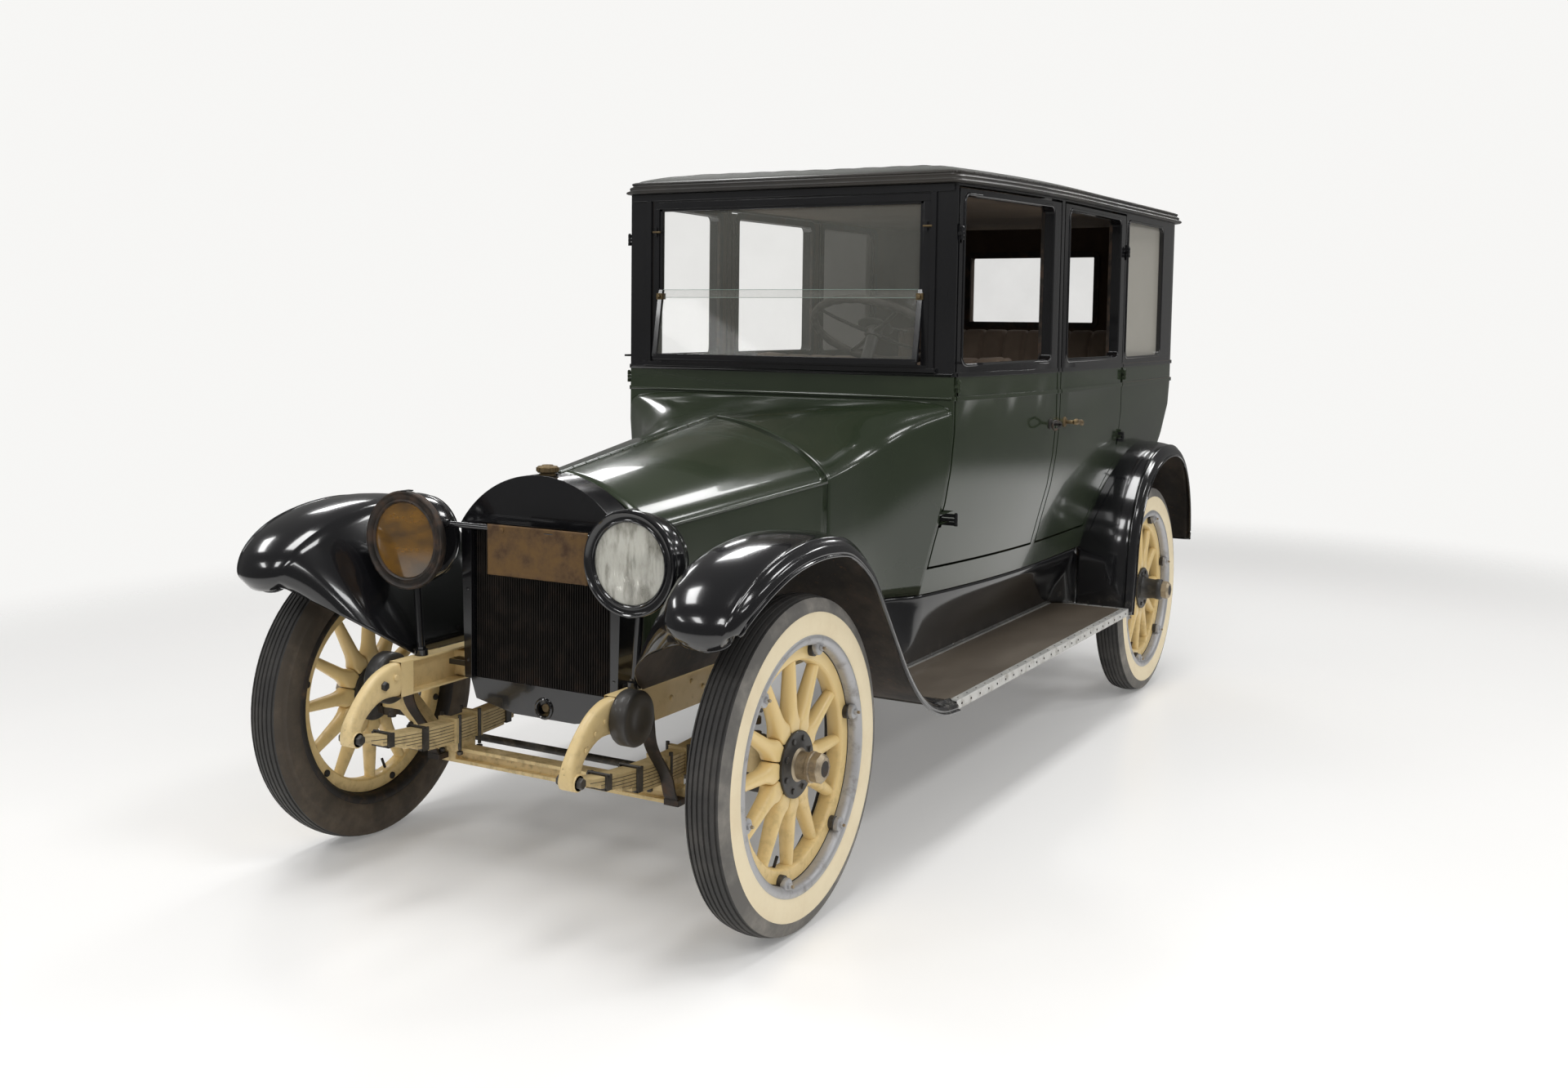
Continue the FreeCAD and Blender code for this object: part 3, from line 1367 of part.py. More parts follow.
nodes["fuel_tank"] = fuel_tank()
nodes["spare_tyre"] = spare_tyre()
nodes["spare_carrier"] = spare_carrier()
nodes["tail_lamp"] = tail_lamp()
nodes["knuckle_left"] = knuckle()
nodes["knuckle_right"] = mirrored(nodes["knuckle_left"])
nodes["tie_rod"] = tie_rod()
front_wheel, rear_wheel, one_tyre = wheel(hub_nose_front, False), wheel(hub_nose_rear, True), tyre()
for place, shape, axle_y in (("front", front_wheel, front_axle_y), ("rear", rear_wheel, rear_axle_y)):
    for name, side in (("left", 1), ("right", -1)):
        nodes[f"wheel_{place}_{name}"] = placed(shape, side, axle_y)
        nodes[f"tyre_{place}_{name}"] = placed(one_tyre, side, axle_y)

length_box = Part.makeCompound(list(nodes.values())).BoundBox
shift = Vector(0, -(length_box.YMin + length_box.YMax) / 2, 0)
os.makedirs("parts", exist_ok=True)
for name, shape in nodes.items():
    shape.translate(shift)
    shape.exportStep(f"parts/{name}.step")
print("origin shift", round(shift.y, 3), "length", round(length_box.YLength, 1), "nodes", len(nodes))
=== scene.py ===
# %% [markdown]
# # A 1920s touring sedan, dressed in Blender
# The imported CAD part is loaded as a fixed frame. Everything below either gives a CAD piece its finish or makes a
# finer piece over it: tyres with ribs, spoked wheels, rolled fenders, sprung cushions. All sizes are in metres, the
# car faces -Y and its left side is at +X.

# %% Load the frame
import json
import math

import bmesh
import bpy
from mathutils import Matrix, Vector, noise


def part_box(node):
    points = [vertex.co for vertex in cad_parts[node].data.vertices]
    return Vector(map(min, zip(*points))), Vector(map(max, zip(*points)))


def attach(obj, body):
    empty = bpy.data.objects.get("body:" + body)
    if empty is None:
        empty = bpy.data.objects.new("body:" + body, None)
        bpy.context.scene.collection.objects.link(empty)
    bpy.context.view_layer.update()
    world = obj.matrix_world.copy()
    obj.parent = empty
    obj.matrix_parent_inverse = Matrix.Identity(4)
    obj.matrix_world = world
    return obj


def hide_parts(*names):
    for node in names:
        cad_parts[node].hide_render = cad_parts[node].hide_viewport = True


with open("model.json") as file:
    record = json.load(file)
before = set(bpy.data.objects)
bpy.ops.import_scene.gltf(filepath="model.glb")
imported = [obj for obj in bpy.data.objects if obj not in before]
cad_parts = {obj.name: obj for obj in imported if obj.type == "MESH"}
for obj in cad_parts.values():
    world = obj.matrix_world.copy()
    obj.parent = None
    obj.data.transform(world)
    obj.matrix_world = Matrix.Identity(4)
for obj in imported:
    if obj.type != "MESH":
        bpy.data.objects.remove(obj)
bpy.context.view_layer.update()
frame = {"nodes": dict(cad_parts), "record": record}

# %% [markdown]
# Every place on the car is easiest to give from the middle of the wheelbase, because both axles are then at the same
# distance. The frame's own origin is under the middle of the overall length, so one shift joins the two. It is
# measured on the wheels, and stays right when the length changes.

# %% Places on the car
X, Y, Z, ORIGIN = Vector((1, 0, 0)), Vector((0, 1, 0)), Vector((0, 0, 1)), Vector()
SIDES = (("left", 1), ("right", -1))
BASE = 3.15
TRACK_HALF = 0.711
WHEEL_R = 0.432
BOARD_TOP = 0.425
FENDER_OUT = 0.826
SILL, BELT = 0.655, 1.295


def middle(node):
    low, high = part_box(node)
    return (low + high) / 2


SHIFT = (middle("tyre_front_left").y + middle("tyre_rear_left").y) / 2


def at(x, y, z):
    return Vector((x, y + SHIFT, z))


def added(name, data):
    """A new object with this data, in the scene."""
    made = bpy.data.objects.new(name, data)
    bpy.context.collection.objects.link(made)
    return made


print("shift", round(SHIFT, 4))

# %% [markdown]
# The camera was solved from the ellipses of the tyres and rims in the photograph. Its lens is a short one, and the
# picture was cropped off centre, so the sensor is shifted a little to keep the upright pillars upright.

# %% Camera at the photograph's angle
view = bpy.data.cameras.new("view")
view.sensor_width = 36
view.lens = 36.12
view.shift_x, view.shift_y = 0.0526, -0.0572
eye = added("view", view)
yaw, pitch, roll = math.radians(31.06), math.radians(4.97), math.radians(0.53)
ahead = Vector((-math.sin(yaw) * math.cos(pitch), math.cos(yaw) * math.cos(pitch), -math.sin(pitch)))
level = Vector((math.cos(yaw), math.sin(yaw), 0))
upward = level.cross(ahead)
side = math.cos(roll) * level + math.sin(roll) * upward
over = -math.sin(roll) * level + math.cos(roll) * upward
turned = Matrix((side, over, -ahead)).transposed()
eye.matrix_world = Matrix.Translation(at(2.5348, -5.0407, 1.5554)) @ turned.to_4x4()
bpy.context.scene.camera = eye

# %% [markdown]
# ## Studio
# The room in the photograph is white with long ceiling panels, and those panels draw the bright streaks on the black
# fenders. A pale floor, a white world and a few long soft lamps overhead give the same, with no colour of their own.

# %% Ceiling panels
CEILING, PANEL_WIDTH, PANEL_LENGTH, PANEL_POWER = 3.3, 0.6, 1.25, 26
for row, x in enumerate((-3.4, -1.2, 1.0, 3.2, 5.4)):
    for column, y in enumerate((-5.2, -2.2, 0.8, 3.8)):
        name = "panel_%d_%d" % (row, column)
        panel = bpy.data.lights.new(name, "AREA")
        panel.shape, panel.energy = "RECTANGLE", PANEL_POWER
        panel.size, panel.size_y = PANEL_WIDTH, PANEL_LENGTH
        added(name, panel).location = x, y, CEILING
print("ceiling panels", len(bpy.data.lights))

# %% [markdown]
# The world is plain. What the camera sees directly or through glass is the white of the background. What lights the
# car, and what its black enamel mirrors, is a softer grey, so that the dark paint stays dark between the streaks.

# %% World
ROOM_WHITE = (0.93, 0.925, 0.91)
world = bpy.data.worlds.new("room")
bpy.context.scene.world = world
world.use_nodes = True
sky = world.node_tree


def joined(kind, *sources):
    """A new node of the world whose first sockets take the sources."""
    made = sky.nodes.new(kind)
    for socket, source in zip(made.inputs, sources):
        sky.links.new(source, socket)
    return made


rays = joined("ShaderNodeLightPath").outputs
lighting, mirrored, seen = sky.nodes["Background"], joined("ShaderNodeBackground"), joined("ShaderNodeBackground")
for node, colour, strength in ((lighting, (0.92, 0.93, 0.94), 0.38), (mirrored, (0.94, 0.93, 0.91), 0.16),
                               (seen, ROOM_WHITE, 1.0)):
    node.inputs["Color"].default_value = (*colour, 1)
    node.inputs["Strength"].default_value = strength
direct = joined("ShaderNodeMath", rays["Is Camera Ray"], rays["Is Transmission Ray"])
direct.operation, direct.use_clamp = "ADD", True
indirect = joined("ShaderNodeMixShader", rays["Is Glossy Ray"], lighting.outputs[0], mirrored.outputs[0])
every = joined("ShaderNodeMixShader", direct.outputs[0], indirect.outputs[0], seen.outputs[0])
sky.links.new(every.outputs[0], sky.nodes["World Output"].inputs["Surface"])
bpy.context.scene.view_settings.view_transform = "Standard"
print("world", world.name)

# %% [markdown]
# ## Shader maths as expressions
# A finish is mostly arithmetic on a few patterns: where is dust, how much, how rough. Wrapping a socket in a small
# class lets that be written as plain sums. A finish object owns one material and makes all its nodes.

# %% The wrapped socket
class Wave:
    """A number that changes over a surface."""

    def __init__(self, finish, socket):
        self.finish, self.socket = finish, socket

    def _sum(self, kind, *values, clamp=False):
        return self.finish.node("ShaderNodeMath", {"operation": kind, "use_clamp": clamp}, dict(enumerate(values)))

    def __add__(self, other): return self._sum("ADD", self, other)
    def __sub__(self, other): return self._sum("SUBTRACT", self, other)
    def __rsub__(self, other): return self._sum("SUBTRACT", other, self)
    def __mul__(self, other): return self._sum("MULTIPLY", self, other)
    __radd__, __rmul__ = __add__, __mul__

    def clamp(self): return self._sum("ADD", self, 0.0, clamp=True)
    def fold(self, period): return self._sum("PINGPONG", self, period)

    def between(self, low, high):
        return self.finish.node("ShaderNodeMapRange", {"interpolation_type": "SMOOTHSTEP"},
                                {"Value": self, "From Min": low, "From Max": high})


# %% The finish
class Finish:
    """One material: a Principled shader whose sockets take numbers, colours or waves."""

    def __init__(self, name, colour=(0.5, 0.5, 0.5), rough=0.5, **constants):
        self.material = bpy.data.materials.new(name)
        self.material.use_nodes = True
        self.tree = self.material.node_tree
        self.shader = self.tree.nodes["Principled BSDF"]
        self.material.diffuse_color = (*colour, 1)
        self.set("Base Color", (*colour, 1))
        self.set("Roughness", rough)
        for socket, value in constants.items():
            self.set(socket.replace("_", " "), value)
        self.place = self.node("ShaderNodeTexCoord", out="Object")

    def put(self, socket, value):
        if isinstance(value, Wave):
            self.tree.links.new(value.socket, socket)
        else:
            socket.default_value = value

    def node(self, kind, settings=None, inputs=None, out=0):
        made = self.tree.nodes.new(kind)
        for name, value in (settings or {}).items():
            setattr(made, name, value)
        for socket, value in (inputs or {}).items():
            self.put(made.inputs[socket], value)
        return Wave(self, made.outputs[out])

    def set(self, socket, value):
        self.put(self.shader.inputs[socket], value)
        return self

    def part(self, letter):
        return self.node("ShaderNodeSeparateXYZ", None, {"Vector": self.place}, out=letter)

    def cloud(self, scale, detail=3.0, rough=0.55, stretch=(1, 1, 1)):
        spread = self.node("ShaderNodeMapping", None, {"Vector": self.place, "Scale": stretch})
        return self.node("ShaderNodeTexNoise", None,
                         {"Vector": spread, "Scale": scale, "Detail": detail, "Roughness": rough}, out="Fac")

    def mix(self, amount, first, second):
        def colour(value):
            return value if isinstance(value, Wave) else (*value, 1)
        made = self.tree.nodes.new("ShaderNodeMix")
        made.data_type = "RGBA"
        self.put(made.inputs[0], amount)
        self.put(made.inputs[6], colour(first))
        self.put(made.inputs[7], colour(second))
        return Wave(self, made.outputs[2])

    def bump(self, height, distance, strength=1.0):
        return self.set("Normal", self.node("ShaderNodeBump", None, {
            "Height": height, "Distance": distance, "Strength": strength}, out="Normal"))


print("shader helpers ready")

# %% [markdown]
# ## Paint
# The body is an old brushed enamel: deep green with a little dust on what faces up and low road grime. The black
# enamel of the fenders is glossier, and the running gear was painted a warm cream that has gone dirty in corners.
# Each is one function with its own colours, so that the marks differ while the recipe stays the same.

# %% Enamel
def enamel(name, colour, faded, rough=0.16, grime=(0.16, 0.14, 0.11), grime_top=0.55, specks=0.0, coat=0.6,
           wave=0.0012):
    paint = Finish(name, colour, rough, Coat_Weight=coat, Coat_Roughness=0.05, IOR=1.5)
    height = paint.part("Z")
    patches = paint.cloud(1.6, 4.0)
    fine = paint.cloud(34.0, 5.0, 0.62)
    base = paint.mix(patches.between(0.35, 0.7), colour, faded)
    low = (1 - height.between(0.28, grime_top)) * fine.between(0.45, 0.72)
    dirty = paint.mix((low * 0.6).clamp(), base, grime)
    if specks:
        chips = paint.cloud(75.0, 6.0, 0.7).between(0.7 - specks, 0.72)
        dirty = paint.mix(chips * 0.75, dirty, (0.12, 0.085, 0.05))
    paint.set("Base Color", dirty)
    paint.set("Roughness", (rough + low * 0.35 + patches * 0.1).clamp())
    paint.bump(paint.cloud(5.0, 2.0) + fine * 0.05, wave, 0.4)
    return paint.material


GREEN = enamel("green_enamel", (0.021, 0.03, 0.016), (0.03, 0.04, 0.022), 0.14, grime_top=0.75)
BLACK = enamel("black_enamel", (0.006, 0.006, 0.007), (0.009, 0.009, 0.01), 0.11)
SATIN_BLACK = enamel("satin_black", (0.02, 0.019, 0.018), (0.038, 0.033, 0.027), 0.42, specks=0.03, coat=0.1)
CREAM = enamel("cream_paint", (0.8, 0.6, 0.27), (0.74, 0.54, 0.23), 0.36, grime=(0.52, 0.38, 0.17),
               grime_top=0.5, specks=0.01, coat=0.2, wave=0.0006)
FRAME_CREAM = enamel("frame_cream", (0.74, 0.57, 0.29), (0.66, 0.5, 0.24), 0.4, grime=(0.24, 0.17, 0.09),
                     grime_top=0.7, specks=0.05, coat=0.15, wave=0.0008)
LEAF_CREAM = enamel("spring_cream", (0.64, 0.5, 0.26), (0.52, 0.4, 0.2), 0.5, grime=(0.16, 0.11, 0.06),
                    grime_top=0.6, specks=0.06, coat=0.05, wave=0.0006)
print("paints", GREEN.name, BLACK.name, CREAM.name)

# %% [markdown]
# The underside of a fender never saw polish. It is brown with road dust and rust specks over black, and the greasy
# steering parts are much the same colour.

# %% Under-fender and grease
def soiled(name, dark, dust, rust, rough=0.8):
    coat = Finish(name, dark, rough)
    wide = coat.cloud(6.0, 5.0, 0.6)
    fine = coat.cloud(55.0, 6.0, 0.7)
    base = coat.mix(wide.between(0.35, 0.65), dark, dust)
    coat.set("Base Color", coat.mix(fine.between(0.6, 0.74) * 0.8, base, rust))
    coat.set("Roughness", (rough - wide * 0.2).clamp())
    coat.bump(fine + wide * 0.5, 0.0012, 0.7)
    return coat.material


UNDERSIDE = soiled("under_fender", (0.022, 0.018, 0.015), (0.06, 0.045, 0.033), (0.16, 0.085, 0.04))
GREASE = soiled("greasy_iron", (0.03, 0.024, 0.018), (0.12, 0.085, 0.045), (0.22, 0.15, 0.07), 0.55)
print("soiled finishes", UNDERSIDE.name, GREASE.name)

# %% [markdown]
# ## Rubber, metal and glass
# The tread has gone grey and dusty, the whitewall is a creamy ivory band with scuffs, and the demountable rims are
# silver paint over steel. Bare brass shows on the hub nuts, the filler cap and the door handles.

# %% Rubber
def rubber(name, colour, dust, scuff=0.7, rough=0.6):
    tread = Finish(name, colour, rough)
    scuffs = tread.cloud(7.0, 5.0, 0.65)
    fine = tread.cloud(90.0, 4.0, 0.6)
    tread.set("Base Color", tread.mix((scuffs.between(0.38, 0.78) * scuff + fine * 0.15).clamp(), colour, dust))
    tread.set("Roughness", rough + fine * 0.25)
    tread.bump(fine + scuffs, 0.0006, 0.6)
    return tread.material


TREAD = rubber("tread_rubber", (0.03, 0.029, 0.028), (0.085, 0.078, 0.07))
SHOULDER = rubber("scuffed_shoulder", (0.11, 0.105, 0.097), (0.27, 0.25, 0.22), 0.9)
SIDEWALL = rubber("inner_sidewall", (0.05, 0.04, 0.03), (0.15, 0.115, 0.08), 0.8)
IVORY = rubber("whitewall", (0.83, 0.72, 0.5), (0.7, 0.57, 0.37), 0.5, 0.5)
print("rubbers", TREAD.name, IVORY.name)

# %% Metals
def metal(name, colour, blotch, rough=0.35, metallic=1.0, wear=0.5):
    bare = Finish(name, colour, rough)
    cloudy = bare.cloud(22.0, 5.0, 0.62)
    pits = bare.cloud(140.0, 3.0)
    amount = (cloudy.between(0.62 - wear * 0.35, 0.78)).clamp()
    bare.set("Base Color", bare.mix(amount, colour, blotch))
    bare.set("Metallic", (metallic - amount * 0.55).clamp())
    bare.set("Roughness", (rough + amount * 0.35 + pits * 0.12).clamp())
    bare.bump(pits + cloudy, 0.0004, 0.5)
    return bare.material


SILVER = metal("rim_silver", (0.46, 0.46, 0.47), (0.25, 0.235, 0.22), 0.42, 0.7, wear=0.35)
ALUMINIUM = metal("board_aluminium", (0.66, 0.655, 0.63), (0.34, 0.32, 0.28), 0.38, 0.85)
BRASS = metal("old_brass", (0.2, 0.145, 0.075), (0.06, 0.042, 0.024), 0.42, 0.9, wear=0.7)
NUT_BRASS = metal("hub_nut_brass", (0.42, 0.35, 0.25), (0.15, 0.11, 0.075), 0.36, 0.95, wear=0.6)
IRON = metal("cast_iron", (0.1, 0.095, 0.088), (0.13, 0.075, 0.04), 0.62, 0.5)
DARK_IRON = metal("bolt_iron", (0.035, 0.032, 0.03), (0.09, 0.055, 0.03), 0.5, 0.6, wear=0.4)
RUST = metal("rusty_plate", (0.15, 0.082, 0.025), (0.05, 0.025, 0.011), 0.55, 0.35, wear=0.8)
RUSTY_BLACK = metal("rusty_black", (0.02, 0.016, 0.013), (0.075, 0.04, 0.022), 0.42, 0.25, wear=0.6)
CORE = metal("core_fins", (0.012, 0.009, 0.007), (0.026, 0.015, 0.009), 0.6, 0.3)
MIRROR = metal("lamp_reflector", (0.8, 0.78, 0.72), (0.5, 0.47, 0.4), 0.2, 1.0, wear=0.3)
print("metals", SILVER.name, BRASS.name, RUST.name)

# %% [markdown]
# Old plate glass is nearly clear, a little green and never perfectly clean. A thin film of dust on it is what lets
# the eye see that a pane is there at all. Headlamp glass is ribbed, and one lens on this car has gone amber. The
# near lens's pale colour and its long streaks are a painted reflection of the room in its ribs.

# %% Window glass
def pane(name, colour, dust=0.1, rough=0.02):
    glass = Finish(name, colour, rough, IOR=1.45)
    film = glass.cloud(3.0, 5.0, 0.6)
    glass.set("Alpha", (dust + film * 0.1).clamp())
    glass.set("Roughness", rough + film * 0.06)
    return glass.material


PANE = pane("plate_glass", (0.36, 0.36, 0.32), 0.07)
PANE_EDGE = pane("glass_edge", (0.34, 0.46, 0.4), 0.55, 0.1)
QUARTER_PANE = pane("quarter_glass", (0.44, 0.42, 0.37), 0.76, 0.08)


# %% Lamp glass
def lens(name, colour, deep, cover, streak=(1, 1, 1), patch=14.0):
    glass = Finish(name, colour, 0.12, IOR=1.5, Coat_Weight=1.0, Coat_Roughness=0.03)
    # On the clear lens these blotches are stretched into long streaks over a pale colour: a painted reflection of the
    # room in the ribbed glass.
    blotch = glass.cloud(patch, 5.0, 0.6, streak)
    glass.set("Base Color", glass.mix(blotch.between(0.38, 0.66), colour, deep))
    glass.set("Alpha", (cover + blotch * 0.2).clamp())
    glass.bump(blotch, 0.002, 0.6)
    return glass.material


# The near lens's whitish colour and its streaks are a painted reflection, not the colour of the glass.
CLEAR_LENS = lens("ribbed_lens", (0.8, 0.79, 0.71), (0.32, 0.31, 0.26), 0.42, (2.6, 1, 0.9), 11.0)
AMBER_LENS = lens("amber_lens", (0.28, 0.135, 0.022), (0.05, 0.038, 0.026), 0.72, (0.7, 1, 1.5), 3.6)
RED_LENS = lens("red_lens", (0.32, 0.02, 0.015), (0.16, 0.01, 0.01), 0.9)
print("glass", PANE.name, CLEAR_LENS.name)

# %% [markdown]
# ## Cloth, wood and lining
# The roof is a coated fabric stretched over slats, the seats and door linings are a brown wool cloth, and the running
# boards carry brown linoleum. Weave is a fine crossing of two wave patterns, far below the size of a fold.

# %% Cloths
def cloth(name, colour, shade, pitch=0.0016, rough=0.9, sheen=0.08):
    wool = Finish(name, colour, rough, Sheen_Weight=sheen, Sheen_Roughness=0.5, Specular_IOR_Level=0.2)
    across = (wool.part("X") + wool.part("Y") * 0.35).fold(pitch) * (1 / pitch)
    along = (wool.part("Z") + wool.part("Y")).fold(pitch) * (1 / pitch)
    weave = across * along
    wear = wool.cloud(5.0, 5.0, 0.6)
    wool.set("Base Color", wool.mix((wear.between(0.3, 0.75) * 0.6 + weave * 0.35).clamp(), colour, shade))
    wool.bump(weave + wear * 0.6, 0.0009, 0.7)
    return wool.material


SEAT_CLOTH = cloth("seat_cloth", (0.27, 0.205, 0.155), (0.155, 0.115, 0.086))
LINING = cloth("door_lining", (0.085, 0.058, 0.04), (0.05, 0.034, 0.024))
HEADLINER = cloth("headliner", (0.15, 0.105, 0.065), (0.1, 0.068, 0.043))
ROOF_CLOTH = cloth("roof_cloth", (0.075, 0.078, 0.066), (0.042, 0.044, 0.038), 0.0022, 0.68, 0.1)


# %% Timber and linoleum
def timber(name, dark, light, rough=0.45, grain=(1, 14, 14)):
    wood = Finish(name, dark, rough, Coat_Weight=0.08, Coat_Roughness=0.3)
    rings = wood.cloud(6.0, 5.0, 0.6, grain)
    wood.set("Base Color", wood.mix(rings.between(0.3, 0.7), dark, light))
    wood.set("Roughness", rough + rings * 0.2)
    wood.bump(rings, 0.0006, 0.5)
    return wood.material


FLOOR_WOOD = timber("floor_boards", (0.07, 0.045, 0.028), (0.13, 0.085, 0.05), 0.75, (2, 14, 14))
DASH_WOOD = timber("dash_wood", (0.055, 0.025, 0.012), (0.12, 0.055, 0.025))
RIM_WOOD = timber("steering_rim", (0.018, 0.013, 0.009), (0.036, 0.027, 0.02), 0.55)


def linoleum():
    sheet = Finish("linoleum", (0.085, 0.068, 0.048), 0.42)
    scuff = sheet.cloud(4.0, 6.0, 0.65, (1, 0.35, 1))
    fine = sheet.cloud(60.0, 4.0)
    sheet.set("Base Color", sheet.mix((scuff.between(0.3, 0.75) * 0.8 + fine * 0.2).clamp(),
                                      (0.07, 0.054, 0.038), (0.125, 0.102, 0.076)))
    sheet.set("Roughness", 0.34 + scuff * 0.3)
    sheet.bump(fine + scuff, 0.0006, 0.6)
    return sheet.material


LINOLEUM = linoleum()
print("cloths and boards", SEAT_CLOTH.name, LINOLEUM.name)

# %% [markdown]
# The floor keeps the car's shadow and a faint mirror of the tyres. Away from the car it fades out and the white of
# the room shows instead, or a grey horizon would cut through the picture.

# %% Studio floor
FLOOR, FADE_ACROSS, FADE_ALONG = 40, 0.19, 0.13
floor_sheet = Finish("pale_floor", (0.8, 0.79, 0.775), 0.3, Specular_IOR_Level=0.35)
floor_sheet.set("Emission Color", (*ROOM_WHITE, 1))
floor_sheet.set("Emission Strength", 0.18)
across, along = floor_sheet.part("X") * FADE_ACROSS, floor_sheet.part("Y") * FADE_ALONG
floor_sheet.set("Alpha", 1 - (across * across + along * along).between(0.35, 1.0))
floor_mesh = bpy.data.meshes.new("floor")
floor_mesh.from_pydata([(-FLOOR, -FLOOR, 0), (FLOOR, -FLOOR, 0), (FLOOR, FLOOR, 0), (-FLOOR, FLOOR, 0)], [],
                       [(0, 1, 2, 3)])
floor_mesh.materials.append(floor_sheet.material)
studio_floor = added("studio_floor", floor_mesh)
studio_floor.location.z = -0.0005
print("floor laid")

# %% [markdown]
# ## Tools for making pieces
# Most of a car is turned, swept or lofted: a tyre is a profile turned round its axle, a fender is a section carried
# along a curve. One small class gathers such forms into a mesh, and remembers which finish each face has.

# %% Curves through a few rows
def flow(rows, count):
    """Evenly spaced points on a smooth curve through the rows."""
    spots = [Vector(row) for row in rows]
    knots = [0.0]
    for first, last in zip(spots, spots[1:]):
        knots.append(knots[-1] + (last - first).length)
    top = len(spots) - 1
    slopes = [(spots[min(i + 1, top)] - spots[max(i - 1, 0)]) / (knots[min(i + 1, top)] - knots[max(i - 1, 0)])
              for i in range(top + 1)]
    made, leg = [], 0
    for k in range(count):
        t = knots[-1] * k / (count - 1)
        while leg < top - 1 and t > knots[leg + 1]:
            leg += 1
        span = knots[leg + 1] - knots[leg]
        u = (t - knots[leg]) / span
        made.append(spots[leg] * (1 + 2 * u) * (1 - u) ** 2 + slopes[leg] * span * u * (1 - u) ** 2
                    + spots[leg + 1] * u * u * (3 - 2 * u) + slopes[leg + 1] * span * u * u * (u - 1))
    return made


def mixed(first, last, share):
    return first + (last - first) * share


def circle(radius, steps=12):
    return [(radius * math.cos(math.tau * k / steps), radius * math.sin(math.tau * k / steps)) for k in range(steps)]


def slab(width, height):
    return [(-width / 2, -height / 2), (width / 2, -height / 2), (width / 2, height / 2), (-width / 2, height / 2)]


print("curve test", [round(v.y, 3) for v in flow([(0, 0), (1, 1), (2, 0)], 5)])

# %% The clay
WELD = 0.00001
BODY_OF = {node: name for name, nodes in frame["record"]["behaviour"]["bodies"].items() for node in nodes}


class Clay:
    """A mesh in the making: points, faces and the number of each face's finish."""

    def __init__(self):
        self.points, self.faces, self.marks = [], [], []

    def grid(self, rings, mark=0, loop=True, wrap=False, cap=False):
        """Faces between neighbouring rings. mark is a number or a function of ring and place."""
        base, wide, deep = len(self.points), len(rings[0]), len(rings)
        for ring in rings:
            self.points += [Vector(point) for point in ring]
        for i in range(deep if wrap else deep - 1):
            for j in range(wide if loop else wide - 1):
                a, b, k = base + i * wide, base + (i + 1) % deep * wide, (j + 1) % wide
                self.faces.append((a + j, a + k, b + k, b + j))
                self.marks.append(mark(i, j) if callable(mark) else mark)
        if cap:
            self.faces += [tuple(range(base, base + wide)), tuple(range(base + (deep - 1) * wide, base + deep * wide))]
            self.marks += [mark(0, 0), mark(deep - 2, 0)] if callable(mark) else [mark, mark]
        return self

    def lathe(self, profile, centre, axis=X, steps=48, mark=0, closed=False):
        """profile: (along, radius) pairs, turned round the axis through centre."""
        line = axis.normalized()
        out = Z if abs(line.z) < 0.9 else Y
        out = (out - line * out.dot(line)).normalized()
        over = line.cross(out)
        rings = [[centre + line * along + (out * c + over * s) * radius for along, radius in profile]
                 for c, s in circle(1, steps)]
        marks = (lambda i, j: mark[j]) if isinstance(mark, list) else mark
        return self.grid(rings, marks, loop=closed, wrap=True)

    def rod(self, start, end, radius, steps=14, mark=0, nose=0.0):
        line = end - start
        long = line.length
        profile = [(0, 0), (0, radius - nose), (nose, radius), (long - nose, radius), (long, radius - nose), (long, 0)]
        return self.lathe(profile, start, line, steps, mark)

    def bolt(self, centre, axis, radius, height, mark=0, sides=6):
        profile = [(0, radius), (height * 0.72, radius), (height, radius * 0.8), (height, 0)]
        return self.lathe(profile, centre, axis, sides, mark)

    def sweep(self, path, outline, up=Z, mark=0, loop=False, scale=None):
        """outline: (sideways, upward) pairs, carried along the path."""
        rings, last = [], len(path) - 1
        for i, point in enumerate(path):
            first, final = (i - 1, (i + 1) % (last + 1)) if loop else (max(i - 1, 0), min(i + 1, last))
            ahead = path[final] - path[first]
            side = ahead.cross(up).normalized()
            top = side.cross(ahead).normalized()
            size = scale[i] if scale else 1.0
            rings.append([point + (side * u + top * v) * size for u, v in outline])
        return self.grid(rings, mark, wrap=loop, cap=not loop)

    def box(self, low, high, mark=0):
        (x0, y0, z0), (x1, y1, z1) = low, high
        return self.grid([[(x0, y0, z), (x1, y0, z), (x1, y1, z), (x0, y1, z)] for z in (z0, z1)], mark, cap=True)

    def prism(self, outline, along, mark=0):
        return self.grid([outline, [p + along for p in outline]], mark, cap=True)

    def stamp(self, other, matrix, order=1):
        base = len(self.points)
        self.points += [matrix @ point for point in other.points]
        self.faces += [tuple(i + base for i in face)[::order] for face in other.faces]
        self.marks += other.marks
        return self

    def flipped(self, flip=True):
        """The same form on the car's other side."""
        if flip:
            self.points = [Vector((-p.x, p.y, p.z)) for p in self.points]
            self.faces = [face[::-1] for face in self.faces]
        return self

    def mirrored(self):
        """The form with its likeness on the other side added."""
        return self.stamp(self, Matrix.Diagonal((-1, 1, 1, 1)), -1)

    def fire(self, name, body, finishes, nodes=(), sheet=0.0, **looks):
        """Make the piece. sheet is the thickness given to an open surface, whose inside takes the second finish."""
        mesh = bpy.data.meshes.new(name)
        mesh.from_pydata(self.points, [], self.faces)
        for face, mark in zip(mesh.polygons, self.marks):
            face.material_index = mark
        work = bmesh.new()
        work.from_mesh(mesh)
        bmesh.ops.remove_doubles(work, verts=work.verts, dist=WELD)
        if not sheet:
            bmesh.ops.recalc_face_normals(work, faces=work.faces)
        work.to_mesh(mesh)
        work.free()
        return mesh_piece(name, mesh, body, finishes, nodes, sheet, **looks)


